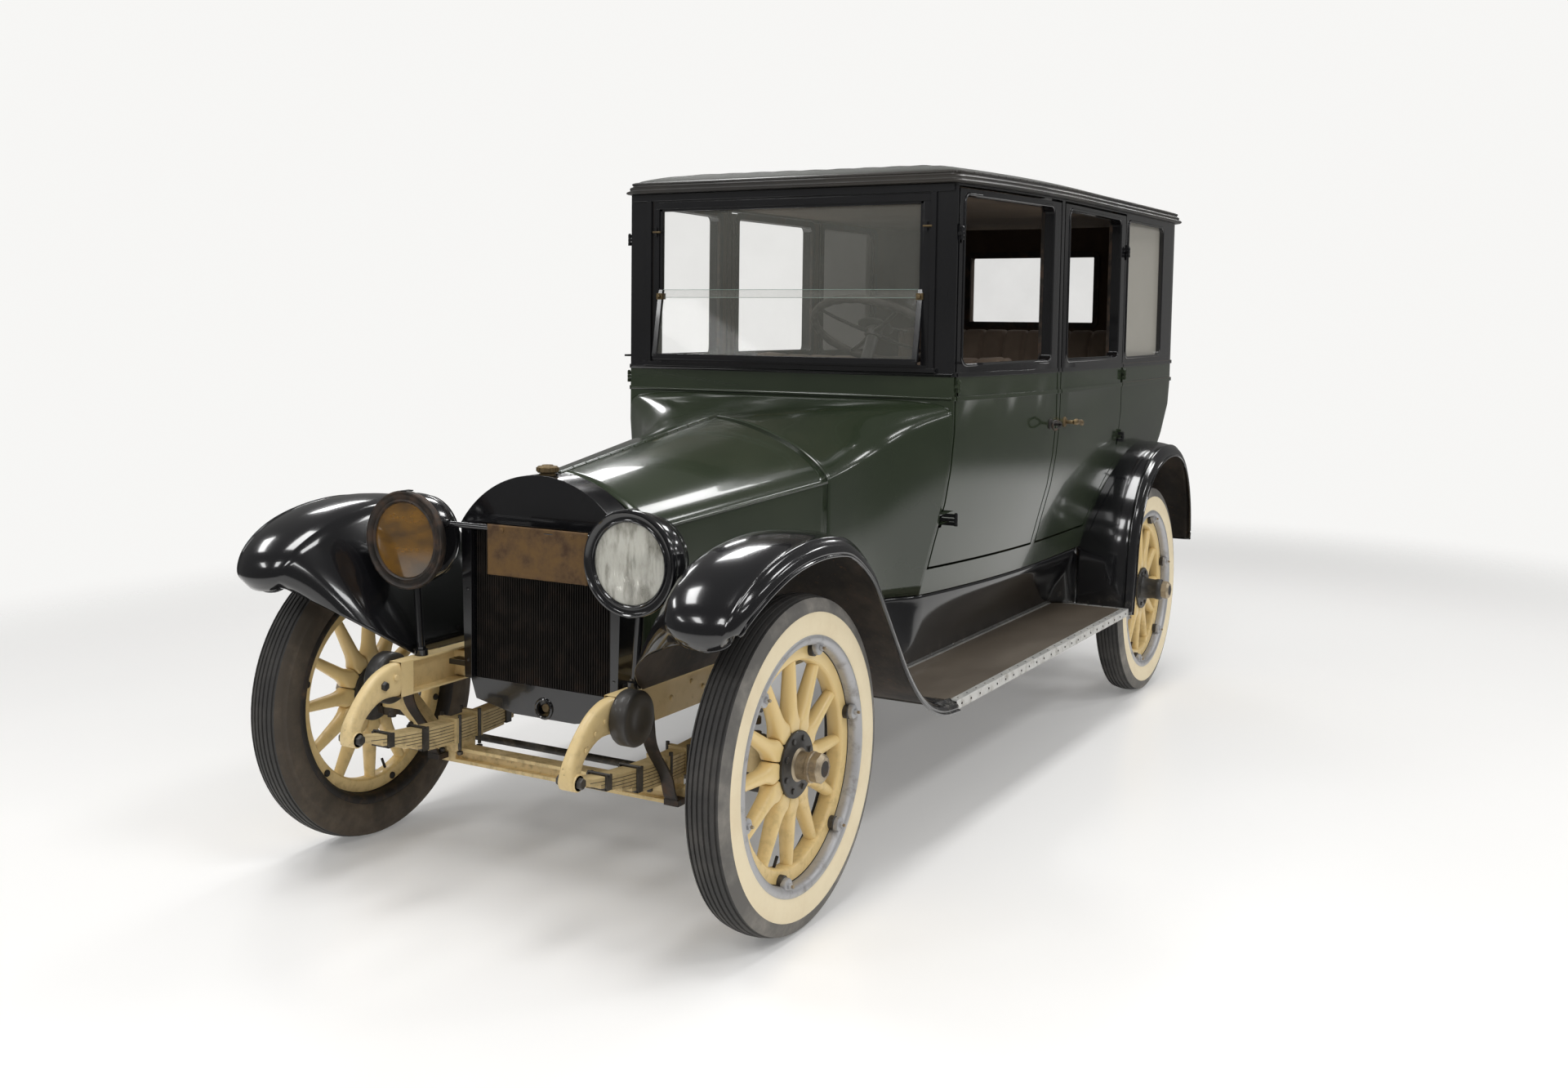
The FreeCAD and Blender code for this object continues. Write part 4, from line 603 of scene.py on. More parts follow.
# %% From a mesh to a piece on its body
def mesh_piece(name, mesh, body, finishes, nodes=(), sheet=0.0, smooth=35.0, edge=0.0, slot=None):
    """smooth is the angle above which an edge stays sharp, and edge the width of the bevel there."""
    piece = added(name, mesh)
    for finish in finishes:
        mesh.materials.append(finish)
    for face in mesh.polygons:
        face.use_smooth = True
    mesh.set_sharp_from_angle(angle=math.radians(smooth))
    if sheet:
        thick = piece.modifiers.new("thickness", "SOLIDIFY")
        thick.thickness, thick.offset = sheet, -1.0
        thick.material_offset = 1 if len(finishes) > 1 else 0
    if edge:
        soft = piece.modifiers.new("soft_edges", "BEVEL")
        soft.width, soft.segments, soft.limit_method = edge, 2, "ANGLE"
        soft.angle_limit = math.radians(35)
        soft.harden_normals = True
    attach(piece, body)
    if nodes:
        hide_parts(*nodes)
    return piece


# %% [markdown]
# ## Skins over the CAD pieces
# Where a CAD solid already has the real outline, it only needs clean edges and its finish. A copy of its mesh is
# welded, cut where a paint line runs, smoothed wherever the turn is slight, and each face takes a finish by a rule on
# where it is and which way it looks. What the real piece has and the solid only stands in for, such as a plain door
# handle, is taken off here and made afresh.

# %% Skin
def skin(node, finishes, rule=None, smooth=28.0, edge=0.0, cuts=(), drop=None):
    """rule(spot, normal) gives a face's finish; cuts are planes to split at, as an axis and a place on it;
    drop(spot) takes faces away."""
    work = bmesh.new()
    work.from_mesh(frame["nodes"][node].data)
    bmesh.ops.remove_doubles(work, verts=work.verts, dist=2 * WELD)
    if drop:
        doomed = [face for face in work.faces if drop(face.calc_center_median())]
        bmesh.ops.delete(work, geom=doomed, context="FACES")
    bmesh.ops.dissolve_limit(work, angle_limit=math.radians(0.4), verts=work.verts, edges=work.edges,
                             delimit={"MATERIAL"})
    for axis, place in cuts:
        bmesh.ops.bisect_plane(work, geom=work.verts[:] + work.edges[:] + work.faces[:], dist=WELD,
                               plane_co=axis * place, plane_no=axis)
    if rule:
        for face in work.faces:
            face.material_index = rule(face.calc_center_median(), face.normal)
    mesh = bpy.data.meshes.new(node + "_skin")
    work.to_mesh(mesh)
    work.free()
    return mesh_piece(node + "_skin", mesh, BODY_OF[node], finishes, [node], smooth=smooth, edge=edge)


print("skin ready for", len(frame["nodes"]), "nodes")

# %% [markdown]
# ## Tyres
# An old high-pressure tyre is tall and narrow. Five plain ribs run round its tread, the shoulder is scuffed grey, and
# the outer wall carries the broad ivory band. A lathe profile gives all of it, with the finish chosen by the place on
# the profile. The spare has the same tyre on a bare silver rim.

# %% The tyre's profile
GROOVES = (-0.0375, -0.0225, -0.0075, 0.0075, 0.0225, 0.0375)
WALL = [(0.042, 0.3175), (0.0485, 0.326), (0.0545, 0.336), (0.0575, 0.35), (0.058, 0.368), (0.0568, 0.385),
        (0.0562, 0.3895), (0.0546, 0.3912), (0.0535, 0.402), (0.0505, 0.413), (0.0462, 0.4215)]


def crown_radius(x):
    return WHEEL_R - 3.9 * x * x


def tyre_profile():
    tread = []
    for groove in GROOVES:
        for reach, deep in ((-0.003, 0), (-0.0019, 0.0042), (0.0019, 0.0042), (0.003, 0)):
            tread.append((groove + reach, crown_radius(groove + reach) - deep))
    tread = [(-0.0445, crown_radius(0.0445))] + tread + [(0.0445, crown_radius(0.0445))]
    inner = [(-x, r) for x, r in WALL]
    return inner + tread + WALL[::-1]


def tyre_marks(profile):
    """0 tread, 1 scuffed shoulder, 2 ivory band, 3 the inner wall."""
    marks = []
    for (x0, r0), (x1, r1) in zip(profile, profile[1:]):
        x, r = (x0 + x1) / 2, (r0 + r1) / 2
        if abs(x) < 0.0448:
            marks.append(0 if r > 0.4 else 3)
        elif x < 0:
            marks.append(3)
        else:
            marks.append(2 if 0.33 < r < 0.3897 else 1)
    return marks + [3]


PLACES = [(end_name + side_name, way, end, at(way * TRACK_HALF, end * BASE / 2, WHEEL_R))
          for end_name, end in (("front_", -1), ("rear_", 1)) for side_name, way in SIDES]
TYRE = tyre_profile()
for place, way, end, hub in PLACES:
    tyre = Clay().lathe(TYRE, hub, X * way, 96, tyre_marks(TYRE), closed=True)
    tyre.fire("tyre_" + place + "_ribbed", "roadwheel_" + place, [TREAD, SHOULDER, IVORY, SIDEWALL], ["tyre_" + place],
              smooth=40, slot="tyre rubber")
print("tyres", len(PLACES))

# %% [markdown]
# ## Wheels
# Twelve ash spokes run from a clamped nave to a bent wooden felloe. Each spoke's foot is a wedge that meets its
# neighbours, and the foot turns into an oval shank a hand's width further out, which is what makes the pointed arches
# round the hub. The demountable rim is a silver channel held by six wedge clamps with nuts.

# %% Spokes and felloe
SPOKE = [(0.084, 0.0215, 0.0225, 8.0), (0.1, 0.0258, 0.0228, 8.0), (0.112, 0.0276, 0.0228, 5.0),
         (0.123, 0.024, 0.0226, 3.2), (0.138, 0.0205, 0.0222, 2.6), (0.165, 0.0182, 0.0212, 2.2),
         (0.215, 0.0162, 0.0192, 2.1), (0.266, 0.0142, 0.0168, 2.0)]


def oval(half_wide, half_thick, square, steps=20):
    return [(math.copysign(abs(c) ** (2 / square), c) * half_thick,
             math.copysign(abs(s) ** (2 / square), s) * half_wide) for c, s in circle(1, steps)]


def spokes(clay):
    one = Clay().grid([[(x, y, radius) for x, y in oval(wide, thick, square)]
                       for radius, wide, thick, square in flow(SPOKE, 16)], cap=True)
    for k in range(12):
        clay.stamp(one, Matrix.Rotation(math.tau * k / 12, 4, "X"))
    felloe = [(-0.022, 0.3), (-0.022, 0.268), (-0.0185, 0.2637), (-0.012, 0.262), (0.012, 0.262), (0.0185, 0.2637),
              (0.022, 0.268), (0.022, 0.3)]
    return clay.lathe(felloe, ORIGIN, steps=96, closed=True)


# %% Rim, clamps and hub
def rim(clay, mark, dark, centre=ORIGIN, axis=X):
    bead = [(0.023, 0.3025), (0.034, 0.3028), (0.042, 0.304), (0.0485, 0.3075), (0.053, 0.313), (0.0548, 0.32),
            (0.054, 0.327), (0.0505, 0.332), (0.046, 0.3325), (0.042, 0.327), (0.04, 0.319)]
    inner = [(-x, r) for x, r in bead[::-1]]
    marks = [dark] * len(inner) + [mark] * len(bead)
    return clay.lathe(inner + bead, centre, axis, 96, marks, closed=True)


def spoke_way(share):
    """The way out from a wheel's axis at a share of a full turn."""
    return Vector((0, math.cos(math.tau * share), math.sin(math.tau * share)))


def clamps(clay):
    band = [(-0.0215, 0.2995), (-0.0215, 0.3028), (0.0215, 0.3028), (0.0215, 0.2995)]
    clay.lathe(band, ORIGIN, steps=96, mark=4, closed=True)
    for k in range(6):
        out = spoke_way((k + 0.25) / 6)
        lug, stud = out * 0.293, out * 0.2985
        clay.rod(lug + X * 0.02, lug + X * 0.037, 0.0185, 28, 2, 0.002)
        clay.lathe([(0.034, 0.0), (0.034, 0.019), (0.045, 0.02), (0.0485, 0.0185), (0.05, 0.013), (0.049, 0.0)],
                   stud, X, 28, 1)
        clay.bolt(stud + X * 0.0495, X, 0.0088, 0.0075, 1)
        clay.rod(stud + X * 0.056, stud + X * 0.064, 0.0042, 10, 3, 0.001)
        clay.bolt(out * 0.285 - X * 0.022, -X, 0.0105, 0.006, 4, 10)
    valve = spoke_way(4.45 / math.tau)
    clay.rod(valve * 0.264, valve * 0.232 + X * 0.006, 0.0042, 10, 4, 0.001)
    return clay


def hub_parts(clay, driven):
    flange = [(0.0225, 0.086), (0.0285, 0.086), (0.0305, 0.0835), (0.0305, 0.054), (0.0335, 0.05), (0.0335, 0.0)]
    clay.lathe(flange, ORIGIN, steps=64, mark=2).lathe([(-x, r) for x, r in flange], ORIGIN, steps=64, mark=2)
    for k in range(8):
        clay.bolt(spoke_way((k + 0.5) / 8) * 0.0685 + X * 0.03, X, 0.008, 0.005, 2, 8)
    if driven:
        barrel = [(0.033, 0.052), (0.04, 0.046), (0.052, 0.0425), (0.078, 0.04), (0.09, 0.043), (0.104, 0.043),
                  (0.109, 0.0395), (0.112, 0.034)]
        nut, nose = [(0.11, 0.034), (0.112, 0.0365), (0.133, 0.0365), (0.1405, 0.03), (0.1405, 0.0)], 0.1405
    else:
        barrel = [(0.033, 0.044), (0.038, 0.037), (0.05, 0.035), (0.062, 0.035), (0.066, 0.04), (0.074, 0.04),
                  (0.077, 0.0365)]
        nut, nose = [(0.076, 0.036), (0.078, 0.0395), (0.096, 0.0395), (0.1055, 0.03), (0.1055, 0.0)], 0.1055
    clay.lathe(barrel, ORIGIN, steps=48, mark=2 if driven else 3)
    clay.lathe(nut, ORIGIN, steps=8, mark=3)
    clay.rod(X * (nose - 0.001), X * (nose + 0.0004), 0.0205, 32, 4)
    clay.lathe([(-0.03, 0.0), (-0.03, 0.046), (-0.0455, 0.044), (-0.0455, 0.02)], ORIGIN, steps=40, mark=2)
    if driven:
        drum = [(-0.0225, 0.09), (-0.026, 0.15), (-0.03, 0.172), (-0.036, 0.1795), (-0.044, 0.1795), (-0.046, 0.176),
                (-0.088, 0.176), (-0.09, 0.1795), (-0.0955, 0.1795), (-0.0955, 0.17), (-0.04, 0.168), (-0.034, 0.06)]
        clay.lathe(drum, ORIGIN, steps=72, mark=2, closed=True)
    return clay


for place, way, end, hub in PLACES:
    wheel = hub_parts(clamps(rim(spokes(Clay()), 1, 4)), end > 0)
    wheel = Clay().stamp(wheel, Matrix.Translation(hub) @ Matrix.Rotation(0 if way > 0 else math.pi, 4, "Z"))
    wheel.fire("wheel_" + place + "_spoked", "roadwheel_" + place, [CREAM, SILVER, SATIN_BLACK, NUT_BRASS, DARK_IRON],
               ["wheel_" + place], smooth=38, slot="wheel cream")
print("wheels", len(PLACES))

# %% [markdown]
# ## Fenders
# A fender is a pressed sheet: a crown, a raised bead near its outer edge, a short flange below that, and a wire
# rolled into the flange's edge. One section with these features is carried along the side view's curve. The nose is
# drawn in to a rounded lip, and the inner edge runs down to the frame as a hollow skirt.

# %% The curve seen from the side
FRONT_SHARES = (
    (-0.134, 0.112), (-0.1455, 0.13), (-0.1365, 0.1505), (-0.1125, 0.1685), (-0.078, 0.182), (-0.0375, 0.1895),
    (0.0045, 0.1905), (0.046, 0.1835), (0.087, 0.158), (0.116, 0.1215), (0.1445, 0.082), (0.17, 0.05),
    (0.2016, 0.0215), (0.2397, 0.0045), (0.2777, 0.0),
)
REAR_SHARES = (
    (-0.1532, -0.0088), (-0.1508, 0.0406), (-0.1445, 0.085), (-0.1286, 0.1216), (-0.0984, 0.1565),
    (-0.0587, 0.1819), (-0.0143, 0.1946), (0.0302, 0.1978), (0.0714, 0.1914), (0.1064, 0.1724),
    (0.1302, 0.1422), (0.1445, 0.1041), (0.1492, 0.066), (0.1477, 0.0533),
)
CROWN_DROP = 0.038


def side_path(shares, axle_y, count):
    """Points (y, z) along a fender and the way out of its sheet at each."""
    spots = flow([(axle_y + y * BASE, BOARD_TOP + z * BASE) for y, z in shares], count)
    path = []
    for i, spot in enumerate(spots):
        run = (spots[min(i + 1, count - 1)] - spots[max(i - 1, 0)]).normalized()
        path.append((spot, Vector((0, -run.y, run.x))))
    return path


front_path = side_path(FRONT_SHARES, -BASE / 2, 150)
rear_path = side_path(REAR_SHARES, BASE / 2, 110)
print("front fender from y", round(front_path[0][0].x, 3), "to", round(front_path[-1][0].x, 3))

# %% The pressed section
PRESSING = [
    (0.0, 0.5, 0.0), (0.05, 0.37, 0.0), (0.12, 0.22, 0.0), (0.2, 0.115, 0.0), (0.3, 0.04, 0.0), (0.39, 0.008, 0.0),
    (0.48, 0.0, 0.0), (0.57, 0.02, 0.0), (0.66, 0.065, 0.0), (0.74, 0.135, 0.0), (0.81, 0.23, 0.0),
    (0.86, 0.315, 0.0), (0.873, 0.34, -0.0018), (0.884, 0.365, -0.006), (0.896, 0.39, -0.0074),
    (0.908, 0.42, -0.006), (0.919, 0.45, -0.0018), (0.932, 0.49, 0.0006), (0.96, 0.6, 0.002), (0.983, 0.73, 0.006),
    (0.996, 0.84, 0.013), (1.0, 0.88, 0.023),
]


def pressed_ring(spot, normal, inner, outer, drop, inner_drop, lip):
    """The bead fades where the sheet gets narrow, and the lip turns the whole row under like the flange's edge."""
    ring, narrow = [], min(1.0, ((outer - inner) / 0.255) ** 4)
    for place, share, extra in PRESSING:
        extra = mixed(extra * narrow if extra < 0 else extra, PRESSING[-1][2], lip)
        down = drop * share * (inner_drop if place < 0.48 else 1.0) + extra
        ring.append(at(inner + (outer - inner) * place, spot.x, spot.y) - normal * down)
    return ring


def fender_clay(path, inner_of, outer_of, drop_of, inner_drop):
    clay, last = Clay(), len(path) - 1
    rings = [pressed_ring(spot, normal, inner_of(i / last, spot), outer_of(i / last), drop_of(i / last), inner_drop,
                          max(0.0, 1 - i / 2) * inner_drop) for i, (spot, normal) in enumerate(path)]
    clay.grid(rings, loop=False)
    return clay, rings


print("section points", len(PRESSING))

# %% Front fenders
NOSE = 6.3 / 32
FRONT_IN = 0.59


def nose_pinch(u):
    share = min(1.0, (u + 0.006) / NOSE)
    return (1 - math.sqrt(1 - (1 - share) ** 2)) * 0.093


def front_inner(u, spot):
    tail = min(1.0, max(0.0, (spot.x + 1.12) / 0.13)) if spot.y < 0.75 else 0.0
    return FRONT_IN + nose_pinch(u) - (FRONT_IN - 0.508) * tail * tail * (3 - 2 * tail)


front, rings = fender_clay(front_path, front_inner, lambda u: FENDER_OUT - nose_pinch(u),
                           lambda u: CROWN_DROP * min(1.0, max(0.12, 2 - 2 * u)), 1.0)
SKIRT_X, SKIRT_Z, HEEL_Y, SKIRT_END = 0.379, 0.613, -1.745, -1.06
NOSE_END = -1.9


def bent(first, corner, last, share):
    """A point on the curve from first to last that is drawn towards the corner."""
    return first * (1 - share) ** 2 + corner * (2 * share * (1 - share)) + last * share * share


skirt = []
tip, hollow, heel = rings[0][0], at(0.43, -1.95, 0.74), at(SKIRT_X, HEEL_Y, SKIRT_Z)
nose_rows = sum(1 for ring in rings[:60] if ring[0].y - SHIFT < NOSE_END)
for i, ring in enumerate(rings):
    top = ring[0]
    y = top.y - SHIFT
    if i <= nose_rows:
        foot = bent(tip, hollow, heel, (i / nose_rows) ** 1.3)
    elif top.z > 0.64 and y < -1.05:
        foot = at(SKIRT_X, mixed(HEEL_Y, SKIRT_END, (y - NOSE_END) / 0.85), SKIRT_Z)
    else:
        continue
    corner = Vector((mixed(top.x, foot.x, 0.55), (top.y + foot.y) / 2, mixed(top.z, foot.z, 0.45)))
    skirt.append([bent(top, corner, foot, k / 14) for k in range(15)])
front.grid([row[::-1] for row in skirt], loop=False)
front.mirrored().fire("front_fenders_pressed", "car", [BLACK, UNDERSIDE], ["front_fenders"], smooth=50, sheet=0.003,
                      slot="gloss black")
EDGE = circle(0.0042, 10)
wire = Clay().sweep([ring[-1] for ring in rings], EDGE).sweep(rings[0][::-1], EDGE)
wire.mirrored().fire("front_fender_wired_edges", "car", [BLACK], slot="gloss black")
print("front fender rings", len(rings), "skirt rows", len(skirt))

# %% Rear fenders
HOUSE_IN, HOUSE_FOOT = 0.6, 0.612
rear, rings = fender_clay(rear_path, lambda u, spot: HOUSE_IN, lambda u: FENDER_OUT,
                          lambda u: CROWN_DROP * min(1.0, 0.25 + u * 8), 0.0)
house = []
for spot, normal in rear_path:
    if spot.y > HOUSE_FOOT:
        house.append([at(HOUSE_IN, spot.x, z) for z in (spot.y, (spot.y + HOUSE_FOOT) / 2, HOUSE_FOOT)])
rear.grid([row[::-1] for row in house], loop=False)
rear.mirrored().fire("rear_fenders_pressed", "car", [BLACK, UNDERSIDE], ["rear_fenders"], smooth=50, sheet=0.003,
                     slot="gloss black")
wire = Clay().sweep([ring[-1] for ring in rings], EDGE).sweep(rings[-1], EDGE)
wire.mirrored().fire("rear_fender_wired_edges", "car", [BLACK], slot="gloss black")
print("rear fender rings", len(rings))

# %% [markdown]
# ## Running boards and splash aprons
# Each board is wood under brown linoleum, held round its rim by aluminium strip. The outer strip folds over the edge
# and is nailed every hand's width. Between board and body a black apron sweeps up in a hollow curve, from the
# bonnet's ledge in front to the rear fender.

# %% Boards
BOARD_FRONT, BOARD_REAR, BOARD_IN, BOARD_OUT = -0.7, 1.092, 0.506, 0.815
STRIP = ((-0.024, 0.4222), (0, 0.4222), (0, 0.397), (0.0015, 0.397), (0.0015, 0.4235), (0, 0.425), (-0.024, 0.425))
NAILS = 24
boards = Clay()
boards.box(at(BOARD_IN, BOARD_FRONT, 0.3985), at(BOARD_OUT - 0.003, BOARD_REAR, 0.4225), 2)
boards.box(at(BOARD_IN + 0.004, BOARD_FRONT + 0.004, 0.422), at(BOARD_OUT - 0.02, BOARD_REAR - 0.015, 0.424), 0)
boards.prism([at(BOARD_OUT + x, BOARD_FRONT, z) for x, z in STRIP], Y * (BOARD_REAR - BOARD_FRONT), 1)
boards.box(at(BOARD_IN, BOARD_FRONT, 0.4215), at(BOARD_IN + 0.011, BOARD_REAR, 0.4252), 1)
boards.box(at(BOARD_IN, BOARD_REAR - 0.019, 0.4215), at(BOARD_OUT - 0.02, BOARD_REAR, 0.4252), 1)
for k in range(NAILS):
    y = mixed(BOARD_FRONT + 0.04, BOARD_REAR - 0.04, k / (NAILS - 1))
    boards.bolt(at(BOARD_OUT + 0.001, y, 0.4105), X, 0.0036, 0.0022, 3, 8)
    boards.bolt(at(BOARD_OUT - 0.012, y, 0.4247), Z, 0.003, 0.0012, 3, 8)
for k in range(5):
    boards.bolt(at(0.55 + 0.055 * k, BOARD_REAR - 0.0095, 0.425), Z, 0.003, 0.0012, 3, 8)
boards.mirrored().fire("running_boards_bound", "car", [LINOLEUM, ALUMINIUM, SATIN_BLACK, DARK_IRON], ["running_boards"],
                       smooth=30, slot="board lining")
print("boards with", NAILS, "nails a side")

# %% [markdown]
# The body's own shape comes from a few formulas that the apron, the cowl and the mouldings share: how far out its
# side stands at each place along the car, and how far it turns in below the waist.

# %% The body's side
BODY_FRONT, BODY_REAR = -0.3, 2.215
SWELL = BODY_FRONT + (BODY_REAR - BODY_FRONT) * 0.38
TUCK = [(0.0, 1.0), (0.26, 0.61), (0.48, 0.26), (0.65, 0.095), (0.84, 0.0), (1.0, 0.0)]
COWL = [(0.0, 0.0, 0.0, 0.0), (0.22, 0.048, 0.15, 0.05), (0.44, 0.125, 0.32, 0.2), (0.62, 0.255, 0.5, 0.42),
        (0.77, 0.46, 0.7, 0.66), (0.89, 0.72, 0.87, 0.85), (1.0, 1.0, 1.0, 1.0)]
COWL_FRONT, COWL_HALF, FRONT_HALF = -0.745, 0.4, 0.622
BODY_HALF, TUCK_IN, REAR_ROUND = 0.712, 0.105, 0.2
RADIATOR_BACK, RADIATOR_HALF = -1.583, 0.269


def side_half(y):
    y = min(max(y, BODY_FRONT), BODY_REAR)
    if y > SWELL:
        return BODY_HALF - 0.012 * (y - SWELL) / (BODY_REAR - REAR_ROUND - SWELL)
    return BODY_HALF - 0.09 * ((SWELL - y) / (SWELL - BODY_FRONT)) ** 2


def tuck_at(z):
    share = (z - SILL) / (BELT - SILL)
    for (low, first), (high, last) in zip(TUCK, TUCK[1:]):
        if share < high:
            return TUCK_IN * mixed(first, last, max(0.0, share - low) / (high - low))
    return 0.0


COWL_ROWS = flow(COWL, 45)


def sill_half(y):
    """Half the body's width at its lower edge, cowl and bonnet included."""
    if y > BODY_FRONT:
        return side_half(y) - TUCK_IN
    if y > COWL_FRONT:
        along = (y - COWL_FRONT) / (BODY_FRONT - COWL_FRONT)
        wide = min(COWL_ROWS, key=lambda row: abs(row[0] - along))[1]
        return mixed(COWL_HALF, FRONT_HALF, wide) - TUCK_IN * wide
    return mixed(RADIATOR_HALF, COWL_HALF, (y - RADIATOR_BACK) / (COWL_FRONT - RADIATOR_BACK))


print("side at the door", round(side_half(0.4), 3), "sill there", round(sill_half(0.4), 3))

# %% Splash aprons
APRON_FRONT, APRON_FOOT, FLARE_FROM, FLARE_AT = -1.075, 0.508, 1.03, 0.599
rows = []
for k in range(73):
    y = mixed(APRON_FRONT, BOARD_REAR, k / 72)
    foot = 0.4246
    if y < BOARD_FRONT:
        near = min(front_path, key=lambda item: abs(item[0].x - y) + (9 if item[0].x < -1.3 else 0))
        foot = near[0].y - 0.003
    wide = min(sill_half(y) - 0.006, 0.598 if y > 1.0 else 1.0)
    high = 0.6535 if y > COWL_FRONT else 0.6435
    profile = [(wide, high), (wide - 0.001, high - min(0.024, (high - foot) * 0.2)),
               (mixed(wide, APRON_FOOT, 0.14), high - min(0.05, (high - foot) * 0.4)),
               (mixed(wide, APRON_FOOT, 0.55), mixed(high, foot, 0.48)),
               (mixed(wide, APRON_FOOT, 0.9), mixed(high, foot, 0.74)), (APRON_FOOT, foot)]
    flare = max(0.0, (y - FLARE_FROM) / (BOARD_REAR - FLARE_FROM)) ** 2
    rows.append([at(mixed(v.x, FLARE_AT, flare), y, v.y) for v in flow(profile, 18)])
aprons = Clay().grid(rows, loop=False)
aprons.mirrored().fire("splash_aprons_swept", "car", [BLACK, UNDERSIDE], ["splash_aprons"], smooth=50, sheet=0.0025,
                       slot="gloss black")
ledges = Clay().prism([at(x, y, 0.6123) for x, y in ((0.269, -1.5827), (0.4, -0.7453), (0.354, -0.7453),
                                                     (0.223, -1.5827))], Z * 0.0317)
ledges.mirrored().fire("bonnet_ledges", "car", [BLACK], edge=0.004)
print("apron rows", len(rows))

# %% [markdown]
# ## Cowl and bonnet
# The bonnet's crown is a power curve between a straight side and a crest, and the cowl carries that section back while
# it grows into the body's square shoulders in less than half a metre. The CAD does it in seven flat-sided steps; here
# the same rows are joined by a smooth curve, so that the streaks of light run over it unbroken.

# %% One section of bonnet or cowl
def crown_section(y, foot, half, tuck, shoulder, crown, fullness, steps=26):
    sides = [(half - tuck * turned, mixed(foot, shoulder, share / 0.84)) for share, turned in TUCK[:4]]
    outline = [(v.x, v.y) for v in flow(sides + [(half, shoulder)], 14)]
    for k in range(1, steps + 1):
        turn = math.pi / 2 * (k / steps)
        outline.append((half * math.cos(turn) ** fullness if k < steps else 0.0,
                        shoulder + (crown - shoulder) * math.sin(turn) ** fullness))
    return [at(x, y, z) for x, z in outline]


def cowl_ring(row, inset=0.0):
    along, wide, high, square = row
    return crown_section(
        mixed(COWL_FRONT, BODY_FRONT - 0.0003, along), SILL, mixed(COWL_HALF, FRONT_HALF, wide) - inset,
        TUCK_IN * wide,
        mixed(1.058, 1.19, high), mixed(1.245, BELT - 0.0003, high) - inset, mixed(1.3, 0.3, square), 34)


print("section points", len(cowl_ring(COWL_ROWS[0])))

# %% Cowl
cowl = Clay().grid([cowl_ring(row) for row in COWL_ROWS[::-1]], loop=False)
cowl.mirrored().fire("cowl_shell", "car", [GREEN, LINING], ["cowl"], smooth=60, sheet=0.003, slot="body green")
wall_ring = [p + Y * 0.006 for p in cowl_ring(COWL_ROWS[0], 0.004)]
firewall = Clay().prism(wall_ring + [Vector((-p.x, p.y, p.z)) for p in wall_ring[-2::-1]], Y * 0.01)
firewall.fire("firewall", "car", [SATIN_BLACK])
front_crest, rear_crest = at(0, -1.5827, 1.1278), at(0, -0.745, 1.243)
hinge = Clay()
for k in range(14):
    start, end = [front_crest.lerp(rear_crest, (k + share) / 14) for share in (0.03, 0.97)]
    hinge.rod(start, end, 0.0072, 14, 0, 0.0015)
hinge.rod(front_crest, rear_crest, 0.005, 12)
hinge.fire("bonnet_hinge_rod", "car", [GREEN], slot="body green")
print("cowl rings", len(COWL_ROWS))

# %% Bonnet
BONNET_FRONT, BONNET_REAR = -1.577, -0.7485


def bonnet_share(y):
    return (y - BONNET_FRONT) / (COWL_FRONT - BONNET_FRONT)


def bonnet_ring(y):
    share = bonnet_share(y)
    ring = crown_section(y, 0.65, mixed(RADIATOR_HALF, COWL_HALF, share), 0.0, mixed(0.985, 1.058, share),
                         mixed(1.13, 1.245, share), 1.3, 40)
    ring[-1] = Vector((0.0085, ring[-1].y, ring[-1].z - 0.0002))
    return [p for p in ring[:-1] if p.x > 0.0086] + [ring[-1]]


for side_name, way in SIDES:
    name = "bonnet_" + side_name
    rings = [bonnet_ring(mixed(BONNET_REAR, BONNET_FRONT, k / 24)) for k in range(25)]
    count = min(len(ring) for ring in rings)
    bonnet = Clay().grid([ring[:count - 1] + ring[-1:] for ring in rings], loop=False).flipped(way < 0)
    bonnet.fire(name + "_sheet", name + "_body", [GREEN, UNDERSIDE], [name], smooth=60, sheet=0.0025, slot="body green")
    trim = Clay()
    seam = [bonnet_ring(mixed(BONNET_FRONT, BONNET_REAR, k / 12))[13] for k in range(13)]
    trim.sweep([p - X * 0.0015 for p in seam], circle(0.0048, 12))
    for y in (-1.4, -0.92):
        x = mixed(RADIATOR_HALF, COWL_HALF, bonnet_share(y))
        trim.box(at(x - 0.002, y - 0.014, 0.662), at(x + 0.004, y + 0.014, 0.72), 1)
        trim.rod(at(x + 0.005, y, 0.712), at(x + 0.005, y, 0.664), 0.0052, 12, 1, 0.001)
        trim.rod(at(x + 0.005, y - 0.012, 0.7), at(x + 0.005, y + 0.012, 0.7), 0.0036, 10, 1)
    trim.flipped(way < 0).fire(name + "_trim", name + "_body", [GREEN, DARK_IRON], slot="body green")
print("bonnet points across", count)

# %% [markdown]
# ## Radiator
# The shell is a black enamelled pressing whose top is a blank crescent panel. Behind its opening stand the core's
# close upright fins, dark brown with age. Under it a sheet apron carries the starting-handle hole, with the shaft's
# brass-brown end inside. The filler cap is a plain ribbed disc.

# %% Radiator shell, cap and core
RADIATOR = -1.675
CAP_Y = RADIATOR + 0.039


def cap_faces(spot):
    return spot.z > 1.1295 and (Vector((spot.x, spot.y - SHIFT - CAP_Y)).length < 0.0315)


